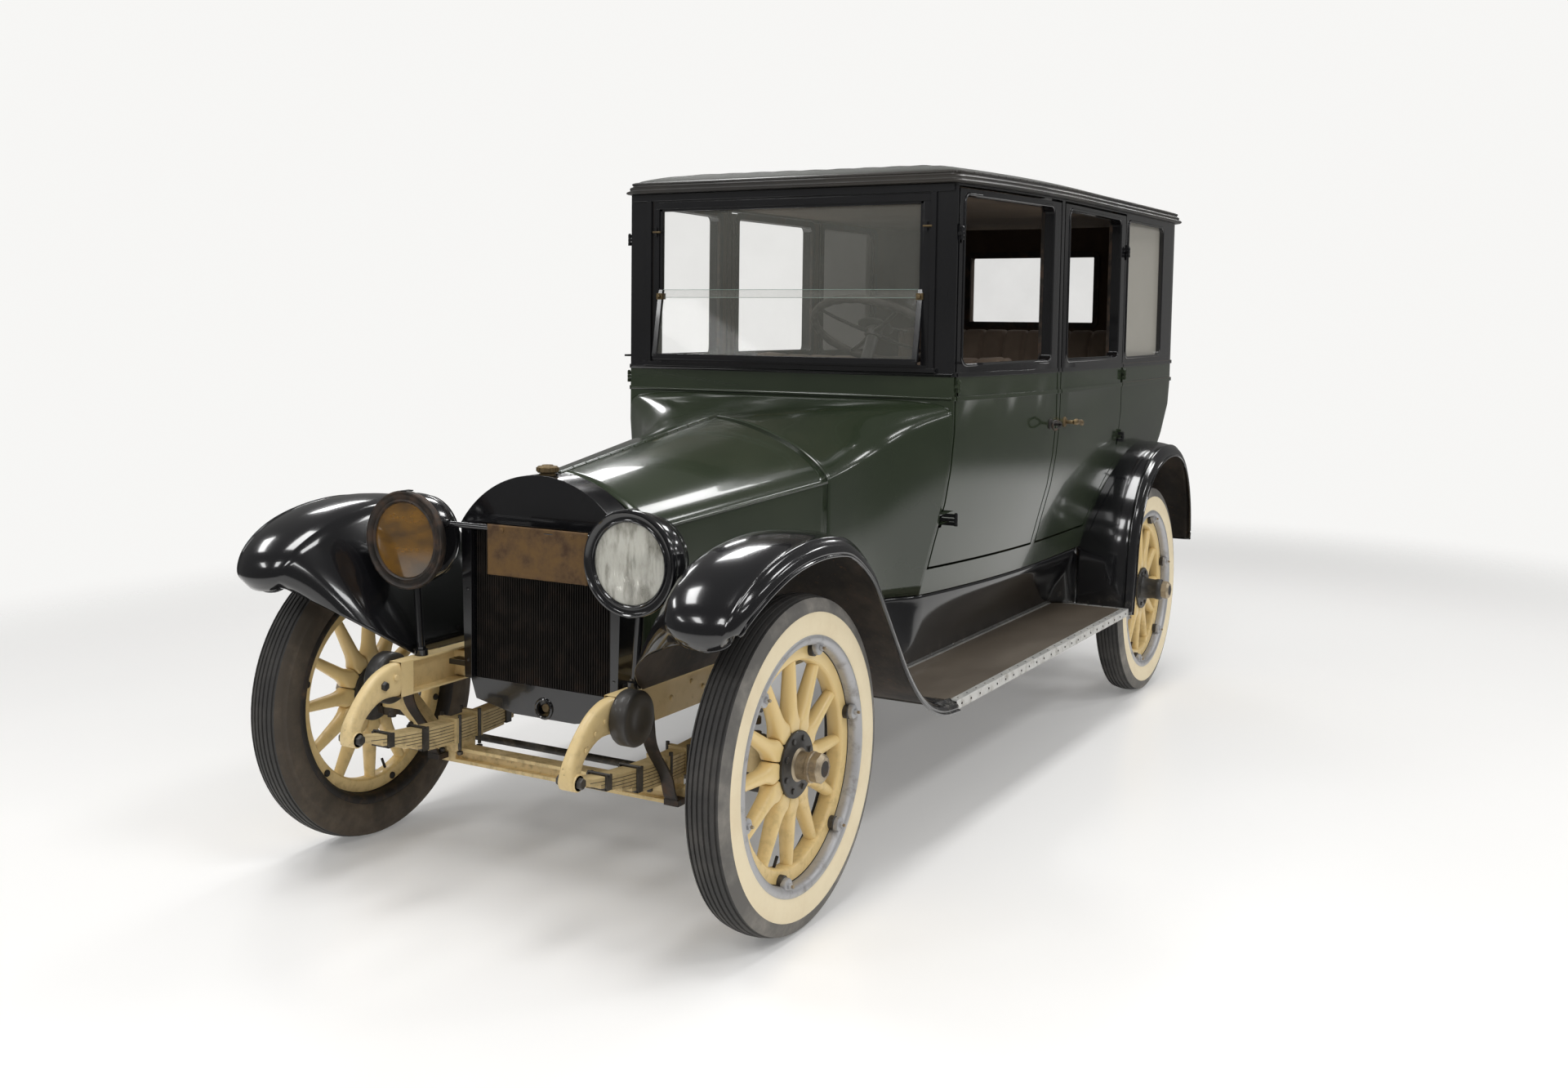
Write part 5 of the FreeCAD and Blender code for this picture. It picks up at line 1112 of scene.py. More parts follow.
skin("radiator_shell", [BLACK], smooth=32, edge=0.007, drop=cap_faces)
cap_at = at(0, CAP_Y, 1.132)
cap = Clay().lathe([(-0.004, 0.0), (-0.004, 0.02), (0.003, 0.02), (0.003, 0.027), (0.006, 0.0295), (0.017, 0.0295),
                    (0.0205, 0.027), (0.0215, 0.017), (0.024, 0.015), (0.024, 0.0)], cap_at, Z, 10)
cap.lathe([(-0.02, 0.0), (-0.02, 0.023), (0.0, 0.023), (0.0, 0.0)], cap_at, Z, 32)
for x, y in circle(0.029, 20):
    rib = cap_at + Vector((x, y, 0.007))
    cap.rod(rib, rib + Z * 0.01, 0.0022, 6)
cap.fire("radiator_cap", "car", [BRASS], smooth=30)
FINS, TUBES = 58, 44
fins = Clay().box(at(-0.232, RADIATOR + 0.045, 0.55), at(0.232, RADIATOR + 0.082, 0.9895), 0)
for k in range(FINS):
    x = mixed(-0.23, 0.23, (k + 0.5) / FINS)
    fins.box(at(x - 0.0011, RADIATOR + 0.018, 0.551), at(x + 0.0011, RADIATOR + 0.046, 0.989), 0)
for k in range(TUBES):
    z = 0.556 + 0.01 * k
    fins.box(at(-0.231, RADIATOR + 0.026, z), at(0.231, RADIATOR + 0.046, z + 0.0018), 0)
fins.fire("radiator_fins", "car", [CORE], ["radiator_core"], slot="core dark")
hole = at(0, RADIATOR, 0.4892)
collar = Clay().lathe([(0.0, 0.021), (-0.005, 0.022), (-0.007, 0.025), (-0.005, 0.029), (0.0, 0.031)],
                      hole + Y * 0.0245, Y, 40, 0)
collar.rod(hole + Y * 0.03, hole + Y * 0.075, 0.0125, 20, 1, 0.002)
collar.rod(hole + Vector((-0.018, 0.04, 0)), hole + Vector((0.018, 0.04, 0)), 0.004, 10, 1)
for x in (-0.225, 0.225):
    for z in (0.6, 0.8, 0.96):
        collar.bolt(at(x * 1.09, RADIATOR + 0.0005, z), -Y, 0.0042, 0.002, 0, 12)
collar.fire("handle_hole_collar", "car", [BLACK, BRASS])
print("fins", FINS)

# %% [markdown]
# ## Headlamps
# A drum lamp is three turnings: a rim with two rolled beads, a drum that closes to a rounded back, and the bowl of
# the reflector with its bulb. The near lens is clear and fluted, the far one has gone amber and its rim is rusty, so
# the two sides share their shapes and differ in finish.

# %% Lamp bodies and lenses
LAMP_FACE, LAMP_Z = -1.8, 0.939
RIM = [(0.009, 0.1045), (0.003, 0.1065), (0.001, 0.109), (0.0022, 0.1118), (0.006, 0.114), (0.007, 0.123),
       (0.004, 0.128), (0.0005, 0.131), (0.0015, 0.135), (0.007, 0.137), (0.015, 0.137), (0.023, 0.1345),
       (0.026, 0.129), (0.0265, 0.1255)]
DRUM = [(0.0265, 0.125), (0.03, 0.1262), (0.066, 0.1258), (0.082, 0.1225), (0.105, 0.112), (0.13, 0.094),
        (0.155, 0.07), (0.175, 0.048), (0.186, 0.03), (0.1895, 0.012), (0.19, 0.0)]
BOWL = [(0.0105, 0.104), (0.03, 0.098), (0.05, 0.084), (0.066, 0.06), (0.074, 0.03), (0.076, 0.0)]
LENS_R = 0.1052
for side_name, way, rim_finish, lens_finish, fluted in (("left", 1, BLACK, CLEAR_LENS, 1),
                                                        ("right", -1, RUSTY_BLACK, AMBER_LENS, 0)):
    name, front = "headlamp_" + side_name, at(way * 0.37, LAMP_FACE, LAMP_Z)
    lamp = Clay().lathe(RIM, front, Y, 72, 0).lathe(DRUM, front, Y, 72, 1).lathe(BOWL, front, Y, 64, 2)
    lamp.lathe([(0.1, 0.115), (0.104, 0.1162), (0.108, 0.113)], front, Y, 64, 1)
    lamp.rod(front + Y * 0.074, front + Y * 0.058, 0.013, 20, 3, 0.002)
    lamp.lathe([(0.06, 0.004), (0.052, 0.0105), (0.04, 0.014), (0.03, 0.0105), (0.025, 0.0)], front, Y, 20, 4)
    lamp.box(front + Vector((-0.009, 0.002, 0.134)), front + Vector((0.009, 0.034, 0.1372)), 1)
    lamp.box(front + Vector((-0.006, 0.004, -0.1372)), front + Vector((0.006, 0.03, -0.134)), 1)
    lamp.fire(name + "_drum", "car", [rim_finish, BLACK, MIRROR, BRASS, PANE_EDGE], ["headlamps"], smooth=42,
              slot="lamp black")
    dome = []
    for radius in [LENS_R * k / 39 for k in range(40)]:
        flute = 0.0009 * fluted * min(1.0, (LENS_R - radius) / 0.006)
        bulge = 0.008 * (1 - (radius / LENS_R) ** 2)
        dome.append([front + Vector((x, 0.0102 - bulge + flute * math.cos(x * math.tau / 0.0105), z))
                     for x, z in circle(radius, 96)])
    Clay().grid(dome).fire(name + "_lens", "car", [lens_finish], ["headlamp_lenses"], smooth=60, sheet=0.002,
                           slot="lamp glass")
print("headlamps", len(SIDES))

# %% Lamp bar, posts and the blank plate
skin("lamp_bar", [BLACK], smooth=40)
collars = Clay()
for x in (-0.25, 0.25):
    collars.lathe([(-0.012, 0.0082), (-0.012, 0.0115), (0.012, 0.0115), (0.012, 0.0082)], at(x, -1.762, 0.991), X, 20)
for x in (-0.356, 0.356):
    collars.bolt(at(x, -1.743, 0.629), Z, 0.013, 0.01)
collars.fire("lamp_bar_collars", "car", [BLACK])


def blank_plate():
    x0, x1, z0, z1, y = -0.099, 0.228, 0.867, 1.003, -1.7703
    rings, wide, high = [], 70, 30
    for i in range(high + 1):
        row = []
        for j in range(wide + 1):
            x, z = mixed(x0, x1, j / wide), mixed(z0, z1, i / high)
            edge = min(x - x0, x1 - x, z - z0, z1 - z)
            rim = 0.0018 * math.exp(-((edge - 0.006) / 0.0026) ** 2)
            dent = 0.0022 * noise.noise(Vector((x * 14, z * 14, 0.3))) * min(1, edge / 0.01)
            row.append(at(x, y - rim + dent - 0.0006, z))
        rings.append(row)
    plate = Clay().grid(rings, loop=False)
    for x in (x0 + 0.05, x1 - 0.05):
        plate.bolt(at(x, y - 0.0005, z1 - 0.014), -Y, 0.0065, 0.003)
    return plate


blank_plate().fire("number_plate_blank", "car", [RUST], ["number_plate"], smooth=50, sheet=0.0012, slot="plate rust")
print("plate left blank")

# %% [markdown]
# ## Body and doors
# Shell and doors keep their CAD form, and are split at the belt into green below and black above. Their plain hinges
# and handles are taken off. Each hinge is made again as a barrel with three knuckles on a short strap, and the
# handles as a dark loop on the front doors and a brass lever on the rear ones.

# %% Body skins
BELT_PAINT = 1.371
HINGES = [(-0.29, (0.88, 1.311, 1.8), 1), (1.276, (1.06, 1.311, 1.8), -1)]  # axis, feet, way to the door
HANDLE_Z = 1.188
FRONT_HANDLE, REAR_HANDLE = 0.41, 0.555


def door_body(door, side_name):
    return "door_" + door + "_" + side_name + "_body"


def stand_in(spot):
    """True on the CAD's plain hinges and handles, where they stand proud of the side."""
    x, y, z = abs(spot.x), spot.y - SHIFT, spot.z
    surface = side_half(y) - tuck_at(z)
    if x < surface + 0.0008:
        return False
    if abs(z - HANDLE_Z) < 0.02 and FRONT_HANDLE - 0.12 < y < REAR_HANDLE + 0.12:
        return True
    return any(abs(y - axis) < 0.024 and low - 0.002 < z < low + 0.062 for axis, lows, way in HINGES for low in lows)


def faces_out(spot, normal):
    y = spot.y - SHIFT
    if abs(normal.x) > 0.45:
        return normal.x * spot.x > 0
    if abs(normal.y) > 0.45:
        if y < -0.2 and abs(spot.x) < 0.56:
            return normal.y < 0
        if y > 2.0:
            return normal.y > 0
    return abs(spot.x) > 0.56 or y > 2.1 or y < -0.27


def body_rule(spot, normal):
    """0 green below the belt, 1 black above it, 2 lining inside."""
    if not faces_out(spot, normal):
        return 2
    return 1 if spot.z > BELT_PAINT else 0


for name in ("door_front_left", "door_front_right", "door_rear_left", "door_rear_right", "body_shell"):
    skin(name, [GREEN, BLACK, LINING], body_rule, edge=0.0015, cuts=[(Z, BELT_PAINT)], drop=stand_in)
print("body skins split at", BELT_PAINT)

# %% Hinges
HINGE_R, TOP_GREEN = 0.006, 1.311
for axis_y, lows, way in HINGES:
    door, x = "front" if axis_y < 0 else "rear", side_half(axis_y) + 0.012
    for side_name, side_way in SIDES:
        leaf, post = Clay(), Clay()
        for low in lows:
            reach = x - 0.016 - tuck_at(low + 0.03)
            finish = 0 if low == TOP_GREEN else 1
            for clay, start, end, out in ((leaf, 0.01, 0.0235, way), (post, 0.024, 0.036, -way),
                                          (leaf, 0.0365, 0.05, way)):
                clay.rod(at(x, axis_y, low + start), at(x, axis_y, low + end), HINGE_R, 16, finish, 0.0008)
                y0, y1 = sorted((axis_y + out * 0.0005, axis_y + out * HINGE_R))
                clay.box(at(reach, y0, low + start + 0.001), at(x, y1, low + end - 0.001), finish)
            leaf.bolt(at(x, axis_y, low + 0.05), Z, 0.0045, 0.003, finish, 12)
        for clay, name, body in ((leaf, "hinge_leaves_", door_body(door, side_name)), (post, "hinge_posts_", "car")):
            clay.flipped(side_way < 0).fire(name + door + "_" + side_name, body, [GREEN, BLACK], smooth=40)
print("hinges", 2 * sum(len(lows) for y, lows, way in HINGES))

# %% Door handles
PLATE = [(-0.004, 0.0), (-0.004, 0.019), (0.002, 0.019), (0.005, 0.015), (0.006, 0.0095), (0.006, 0.0)]
LEVER = [(0.036, -0.01, 0.0, 0.7), (0.04, 0.01, 0.001, 1.25), (0.041, 0.04, -0.001, 0.85),
         (0.041, 0.07, -0.005, 1.2), (0.039, 0.092, -0.009, 0.75)]


def handle_foot(y, reach, radius):
    """The round plate on the door's side with the stem, and the stem's foot."""
    foot = at(side_half(y), y, HANDLE_Z)
    return Clay().lathe(PLATE, foot, X, 28).rod(foot, foot + X * reach, radius, 16, 0, 0.001), foot


def loop_handle():
    clay, foot = handle_foot(FRONT_HANDLE, 0.04, 0.0062)
    loop = [foot + Vector((0.04, 0.047 * (c - 1), 0.0125 * s * (1.15 - 0.45 * c))) for c, s in circle(1, 40)]
    return clay.sweep(loop, circle(0.0042, 10), up=X, loop=True)


def lever_handle():
    clay, foot = handle_foot(REAR_HANDLE, 0.036, 0.0068)
    rows = flow(LEVER, 22)
    return clay.sweep([foot + row.xyz for row in rows], [(u * 0.75, v * 1.15) for u, v in circle(0.0085, 14)],
                      scale=[row[3] for row in rows])


for side_name, way in SIDES:
    for door, build, finish in (("front", loop_handle, DARK_IRON), ("rear", lever_handle, BRASS)):
        handle = build().flipped(way < 0)
        handle.fire("handle_" + door + "_" + side_name, door_body(door, side_name), [finish], smooth=50)
print("handles", 4)

# %% [markdown]
# ## Mouldings, sills and the windscreen
# Two half-round mouldings run across the scuttle under the windscreen. The screen itself is two panes: the upper one
# hangs in a thin frame with a bare ground edge below, and the lower one is swung out at its foot. Small clips at the
# ends of the split hold the two apart.

# %% Scuttle mouldings
front_half = side_half(BODY_FRONT)
beads = Clay()
for z, radius, mark in ((1.302, 0.0062, 0), (1.379, 0.0075, 1)):
    ends = [at(way * (front_half - 0.004), BODY_FRONT + 0.001, z) for way in (-1, 1)]
    beads.sweep([ends[0].lerp(ends[1], k / 20) for k in range(21)], circle(radius, 12), mark=mark)
for half, front, low, high in ((0.56, 0.016, 1.3835, 1.3995), (front_half - 0.01, 0.006, 1.964, 1.988)):
    beads.box(at(-half, BODY_FRONT - front, low), at(half, BODY_FRONT + 0.004, high), 1)
for way in (-1, 1):
    x0, x1 = sorted((way * 0.533, way * 0.552))
    beads.box(at(x0, BODY_FRONT - 0.008, 1.4), at(x1, BODY_FRONT + 0.004, 1.964), 1)
beads.fire("scuttle_mouldings", "car", [GREEN, BLACK], smooth=50, edge=0.0015)
print("scuttle width", round(front_half, 3))

# %% Windscreen frames and panes
SCREEN_Y = BODY_FRONT + 0.013
FRAME_HALF, FRAME_LOW, FRAME_HIGH, SASH_HALF, SWUNG_OUT, SWUNG_LOW = 0.5165, 1.396, 1.9475, 0.4985, 0.046, 1.4175


def bar(clay, start, end, wide, deep, up=Y):
    return clay.sweep([at(*start), at(*end)], slab(wide, deep), up=up)


screen = Clay()
for way, low, high in ((1, FRAME_LOW, FRAME_HIGH), (-1, FRAME_HIGH, FRAME_LOW)):
    wide, short = way * (FRAME_HALF + 0.012), way * 0.012
    bar(screen, (-wide, SCREEN_Y, low), (wide, SCREEN_Y, low), 0.024, 0.0255)
    bar(screen, (way * FRAME_HALF, SCREEN_Y, low + short), (way * FRAME_HALF, SCREEN_Y, high - short), 0.024, 0.0255)
for way in (-1, 1):
    x, hinge_x = way * SASH_HALF, way * FRAME_HALF
    bar(screen, (x, SCREEN_Y - 0.001, 1.632), (x, SCREEN_Y - 0.001, 1.936), 0.012, 0.014)
    bar(screen, (x, SCREEN_Y - 0.004, 1.652), (x, SCREEN_Y - SWUNG_OUT, SWUNG_LOW), 0.018, 0.014)
    screen.box(at(x - 0.012, SCREEN_Y - 0.02, 1.618), at(x + 0.012, SCREEN_Y + 0.006, 1.64), 1)
    screen.rod(at(x, SCREEN_Y - 0.03, 1.629), at(x, SCREEN_Y - 0.018, 1.629), 0.0075, 16, 1, 0.002)
    screen.rod(at(hinge_x, SCREEN_Y - 0.016, 1.838), at(hinge_x, SCREEN_Y - 0.016, 1.872), 0.0055, 12)
    pin = at(hinge_x, SCREEN_Y - 0.02, 1.855)
    screen.rod(pin - X * 0.01, pin + X * 0.022, 0.0038, 10, 1)
bar(screen, (-0.505, SCREEN_Y - SWUNG_OUT, SWUNG_LOW), (0.505, SCREEN_Y - SWUNG_OUT, SWUNG_LOW), 0.013, 0.02, Z)
bar(screen, (-0.505, SCREEN_Y - 0.001, 1.933), (0.505, SCREEN_Y - 0.001, 1.933), 0.012, 0.014)
screen.fire("windscreen_sashes", "car", [BLACK, BRASS], ["windscreen_frame"], smooth=40, edge=0.0012,
            slot="gloss black")
panes = Clay()
panes.box(at(-0.497, SCREEN_Y - 0.002, 1.6255), at(0.497, SCREEN_Y + 0.003, 1.932), 0)
panes.box(at(-0.4985, SCREEN_Y - 0.0025, 1.6243), at(0.4985, SCREEN_Y + 0.0035, 1.6262), 1)
panes.prism([at(-0.491, SCREEN_Y - 0.0035, 1.652), at(0.491, SCREEN_Y - 0.0035, 1.652),
             at(0.491, SCREEN_Y - 0.0475, 1.419), at(-0.491, SCREEN_Y - 0.0475, 1.419)], Vector((0, 0.005, 0.001)))
panes.box(at(-0.4985, SCREEN_Y - 0.004, 1.6515), at(0.4985, SCREEN_Y + 0.002, 1.6532), 1)
panes.box(at(-0.3, 2.1885, 1.5485), at(0.3, 2.1945, 1.8495), 0)
for way in (-1, 1):
    x0, x1 = sorted((way * 0.6812, way * 0.6868))
    panes.box(at(x0, 1.306, 1.41), at(x1, 1.851, 1.957), 2)
panes.fire("window_panes", "car", [PANE, PANE_EDGE, QUARTER_PANE], ["window_glass"], smooth=30, slot="window glass")
print("panes in")

# %% Window and door trims
def rounded_frame(y0, y1, z0, z1, radius):
    arc = circle(radius, 24) + [(radius, 0.0)]
    y0, y1, z0, z1 = y0 + radius, y1 - radius, z0 + radius, z1 - radius
    corners = ((y1, z1), (y0, z1), (y0, z0), (y1, z0))
    return [(y + u, z + v) for i, (y, z) in enumerate(corners) for u, v in arc[6 * i:6 * i + 7]]


WINDOWS = {"front": (-0.254, 0.392), "rear": (0.555, 1.2), "quarter": (1.312, 1.845)}
for opening, (y0, y1) in WINDOWS.items():
    for side_name, way in SIDES:
        trim = Clay()
        bead = rounded_frame(y0 - 0.004, y1 + 0.004, 1.409, 1.958, 0.028)
        trim.sweep([at(way * (side_half(y) + 0.0006), y, z) for y, z in bead],
                   [(u, v * 0.7) for u, v in circle(0.0052, 10)], up=X, loop=True)
        lath = rounded_frame(y0 - 0.012, y1 + 0.012, 1.4, 1.967, 0.03)
        trim.sweep([at(way * (side_half(y) - 0.0402), y, z) for y, z in lath], slab(0.026, 0.012), up=X, loop=True,
                   mark=1)
        body = "car"
        if opening != "quarter":
            body = door_body(opening, side_name)
            x0, x1 = sorted(way * (side_half(0.5) - inward) for inward in (0.036, 0.016))
            trim.box(at(x0, y0 + 0.02, 1.4115), at(x1, y1 - 0.02, 1.4185), 0)
        trim.fire("window_trim_" + opening + "_" + side_name, body, [BLACK, RUSTY_BLACK], smooth=45)
rear_trim = Clay()
for y, frame_args, outline, mark in ((0.0006, (-0.306, 0.306, 1.542, 1.856, 0.014), circle(0.0055, 10), 0),
                                     (-0.0405, (-0.315, 0.315, 1.533, 1.865, 0.02), slab(0.026, 0.012), 1)):
    loop = [at(x, BODY_REAR + y, z) for x, z in rounded_frame(*frame_args)]
    rear_trim.sweep(loop, outline, up=Y, loop=True, mark=mark)
rear_trim.fire("window_trim_back", "car", [BLACK, RUSTY_BLACK], smooth=45)
print("window trims", 2 * len(WINDOWS) + 1)

# %% [markdown]
# ## Roof
# Coated cloth is stretched over slats and padding, so the top is a soft dome with a hint of each slat. It is nailed
# round the edge under a layered drip moulding. One loop round the body's plan is carried out over the moulding and
# then drawn in to the roof's centre line, which gives the dome without a seam. A tan headliner hangs inside.

# %% The body's plan as a loop
FRONT_ROUND = 0.035


def plan_loop(grow):
    rear, front = BODY_REAR + grow, BODY_FRONT - grow
    wide = side_half(BODY_FRONT) + grow
    half = [((wide - FRONT_ROUND) * k / 12, front) for k in range(12)]
    for c, s in circle(FRONT_ROUND, 24)[:7]:
        half.append((wide - FRONT_ROUND + s, front + FRONT_ROUND - c))
    straight_end = rear - REAR_ROUND
    for k in range(1, 46):
        y = mixed(front + FRONT_ROUND, straight_end, k / 45)
        half.append((side_half(y) + grow, y))
    round_x = half[-1][0] - REAR_ROUND
    for c, s in circle(REAR_ROUND, 48)[1:13]:
        half.append((round_x + c, straight_end + s))
    half += [(round_x * (1 - k / 15), rear) for k in range(1, 15)] + [(0.0, rear)]
    return half + [(-x, y) for x, y in half[-2:0:-1]]


print("plan points", len(plan_loop(0.0)))

# %% Dome, moulding and headliner
DRIP = [(-0.03, 1.9905), (0.0205, 1.9905), (0.0232, 1.9925), (0.0236, 1.9965), (0.0205, 2.0), (0.015, 2.002),
        (0.014, 2.006), (0.015, 2.011), (0.012, 2.015), (0.007, 2.017), (0.006, 2.0205), (0.0085, 2.024),
        (0.008, 2.0285), (0.003, 2.0315), (-0.002, 2.032)]
DOME = [(0.0, 0.445), (0.02, 0.52), (0.06, 0.6), (0.1, 0.66), (0.18, 0.755), (0.26, 0.83), (0.38, 0.91), (0.5, 0.955),
        (0.72, 0.99), (1.0, 0.998)]
ROOF_EDGE, ROOF_LIFT, SPINE_END = 1.99, 0.095, 0.62
rings = [[at(x, y, z) for x, y in plan_loop(grow)] for grow, z in DRIP]
edge_loop = plan_loop(-0.002)
for share, lift in flow(DOME, 34):
    ring = []
    for x, y in edge_loop:
        spine = min(max(y, BODY_FRONT + SPINE_END), BODY_REAR - SPINE_END)
        px, py = mixed(x, 0.0, share), mixed(y, spine, share)
        slat = 0.0011 * math.cos(px * math.tau / 0.105) * min(1.0, share * 5)
        sag = 0.0026 * noise.noise(Vector((px * 2.6, py * 2.2, 0.7)))
        ring.append(at(px, py, ROOF_EDGE + ROOF_LIFT * lift - 0.0022 + (slat + sag) * min(1.0, share * 8)))
    rings.append(ring)
roof = Clay().grid(rings, lambda i, j: 1 if i < len(DRIP) - 1 else 0)
for x, y in plan_loop(0.0078):
    roof.bolt(at(x, y, 2.0262), Vector((x, (y - 0.95) * 0.4, 0)), 0.003, 0.0014, 1, 6)
liner = []
for i in range(33):
    y = mixed(-0.262, 2.176, i / 32)
    sag = 0.014 * abs(math.sin(math.pi * i / 32 * 6))
    liner.append([at((side_half(y) - 0.038) * share, y, 1.9885 - sag * (1 - share ** 4))
                  for share in [j / 10 - 1 for j in range(21)]])
roof.grid(liner, 2, loop=False)
roof.fire("roof_cover", "car", [ROOF_CLOTH, SATIN_BLACK, HEADLINER], ["roof"], smooth=40, slot="roof fabric")
print("roof rings", len(rings))

# %% [markdown]
# ## Seats
# The benches are sprung cushions in brown cloth. Each starts as a rounded block a little smaller than its place, is
# blown up by a cloth simulation with pressure and no gravity, and then gets its sewn pleats, because the voxel remesh
# would have erased them.

# %% A blown-up cushion
VOXEL, FRAMES, CAP = 0.013, 20, 0.024


def rounded_block(low, high, lean, round_off):
    work = bmesh.new()
    bmesh.ops.create_cube(work, size=1.0)
    centre, size = (Vector(low) + Vector(high)) / 2, Vector(high) - Vector(low)
    bmesh.ops.scale(work, vec=size, verts=work.verts)
    bmesh.ops.bevel(work, geom=work.edges[:], offset=round_off, segments=4, profile=0.6, affect="EDGES")
    for vert in work.verts:
        share = vert.co.z / size.z + 0.5
        vert.co = at(*(vert.co + centre)) + Y * lean * share
    mesh = bpy.data.meshes.new("block")
    work.to_mesh(mesh)
    work.free()
    return mesh


def taken(maker):
    """The mesh as the maker's modifiers leave it."""
    graph = bpy.context.evaluated_depsgraph_get()
    made = bpy.data.meshes.new_from_object(maker.evaluated_get(graph), depsgraph=graph)
    bpy.data.objects.remove(maker)
    return made


def baked(mesh, name, add):
    maker = added(name + "_maker", mesh)
    add(maker)
    return taken(maker)


def voxel(maker):
    remesh = maker.modifiers.new("voxels", "REMESH")
    remesh.mode, remesh.voxel_size = "VOXEL", VOXEL


def smoother(maker):
    finer = maker.modifiers.new("finer", "SUBSURF")
    finer.levels = finer.render_levels = 1


def blown(mesh, name):
    """The mesh after some frames of cloth under pressure, with no point moved further than the cap."""
    maker = added(name + "_cloth", mesh.copy())
    sim = maker.modifiers.new("cloth", "CLOTH")
    sim.settings.use_pressure, sim.settings.uniform_pressure_force = True, 4.0
    sim.settings.quality = 4
    sim.settings.effector_weights.gravity = 0.0
    sim.point_cache.frame_start, sim.point_cache.frame_end = 1, FRAMES
    for step in range(1, FRAMES + 1):
        bpy.context.scene.frame_set(step)
    made = taken(maker)
    for vert, start in zip(made.vertices, mesh.vertices):
        move = vert.co - start.co
        if move.length > CAP:
            vert.co = start.co + move.normalized() * CAP
    bpy.context.scene.frame_set(1)
    return made


print("cushion maker ready, simulation", "on")

# %% The four cushions
def pleat(mesh, lines, face, depth=0.01, across="x", reach=0.0085):
    """Sink sewn lines into the side that face(normal) picks."""
    normals = [vert.normal.copy() for vert in mesh.vertices]
    for vert, normal in zip(mesh.vertices, normals):
        if face(normal):
            place = vert.co.x if across == "x" else vert.co.z
            near = min(abs(place - line) for line in lines)
            vert.co -= normal * depth * math.exp(-(near / reach) ** 2)


SEAT_BOARD = 0.8905
CUSHIONS = [
    ("front_seat_cushion", (-0.548, 0.032, 0.902), (0.548, 0.412, 1.0), 0.0, "top"),
    ("front_seat_back", (-0.548, 0.434, 0.905), (0.548, 0.53, 1.438), 0.0, "front"),
    ("rear_seat_cushion", (-0.548, 1.352, 0.902), (0.548, 1.692, 1.0), 0.0, "top"),
    ("rear_seat_back", (-0.548, 1.718, 0.905), (0.548, 1.812, 1.536), 0.118, "front"),
]
for name, low, high, lean, side in CUSHIONS:
    mesh = baked(rounded_block(low, high, lean, 0.034), name, voxel)
    mesh = blown(mesh, name)
    mesh = baked(mesh, name, smoother)
    lines = [-0.5 + 0.1 * k for k in range(11)]
    if side == "top":
        pleat(mesh, lines, lambda n: n.z > 0.35)
    else:
        pleat(mesh, lines, lambda n: n.y < -0.2 or n.z > 0.5, 0.012)
        pleat(mesh, [1.13, 1.33 if high[2] < 1.5 else 1.36], lambda n: n.y < -0.5, 0.006, "z", 0.011)
    for vert in mesh.vertices:
        vert.co.z = max(vert.co.z, SEAT_BOARD)
    mesh.materials.clear()
    cushion = mesh_piece(name, mesh, "car", [SEAT_CLOTH], ["seat_cushions"], smooth=70, slot="brown cloth")
print("cushions", len(CUSHIONS))

# %% [markdown]
# ## Steering wheel and controls
# The rim is dark wood with finger grips along its under side, on four arms. Above the hub stands the quadrant with
# its two small levers. The dashboard is a plank with three round dials that carry no lettering.

# %% Steering wheel
WHEEL_AT = at(0.225, -0.055, 1.515)
LEAN, GRIPS = math.radians(30), 26
stand = Vector((0, math.sin(LEAN), math.cos(LEAN)))
flat = stand.cross(X)


def wheel_way(turn):
    return X * math.cos(turn) + flat * math.sin(turn)


rings = []
for turn in [math.tau * k / 144 for k in range(144)]:
    grip = 0.0017 * math.cos(turn * GRIPS)
    ring = []
    for u, v in circle(0.014, 16):
        out = 0.213 + u * (1 + grip * 30 if v < 0.002 else 1)
        ring.append(WHEEL_AT + wheel_way(turn) * out + stand * (v + grip if v < 0 else v))
    rings.append(ring)
wheel = Clay().grid(rings, wrap=True)
for k in range(4):
    arm = [WHEEL_AT + wheel_way(math.tau * (k + 0.5) / 4) * radius - stand * drop
           for radius, drop in ((0.02, 0.01), (0.08, 0.012), (0.15, 0.008), (0.205, 0.0))]
    wheel.sweep(arm, [(u, v * 0.55) for u, v in circle(0.01, 12)], up=stand, mark=1, scale=[1.25, 1.0, 0.85, 0.8])
wheel.lathe([(-0.025, 0.0), (-0.025, 0.026), (-0.012, 0.0285), (0.006, 0.0285), (0.0125, 0.022), (0.0125, 0.0)],
            WHEEL_AT, stand, 40, 1)
wheel.fire("steering_wheel_rim", "steering_wheel_body", [RIM_WOOD, SATIN_BLACK], ["steering_wheel"], smooth=50,
           slot="wheel wood")
quadrant = Clay().lathe([(0.0135, 0.0), (0.0135, 0.06), (0.0165, 0.062), (0.0195, 0.06), (0.0195, 0.0)], WHEEL_AT,
                        stand, 48)
for turn, long in ((0.5, 0.105), (2.3, 0.098)):
    tip = WHEEL_AT + wheel_way(turn) * long + stand * 0.03
    quadrant.rod(WHEEL_AT + stand * 0.021, tip, 0.0035, 10)
    quadrant.lathe([(-0.008, 0.0), (-0.006, 0.0055), (0.0, 0.0075), (0.006, 0.0055), (0.008, 0.0)], tip,
                   wheel_way(turn), 16)
quadrant.fire("quadrant_levers", "car", [SATIN_BLACK], smooth=50)
print("rim grips", GRIPS)

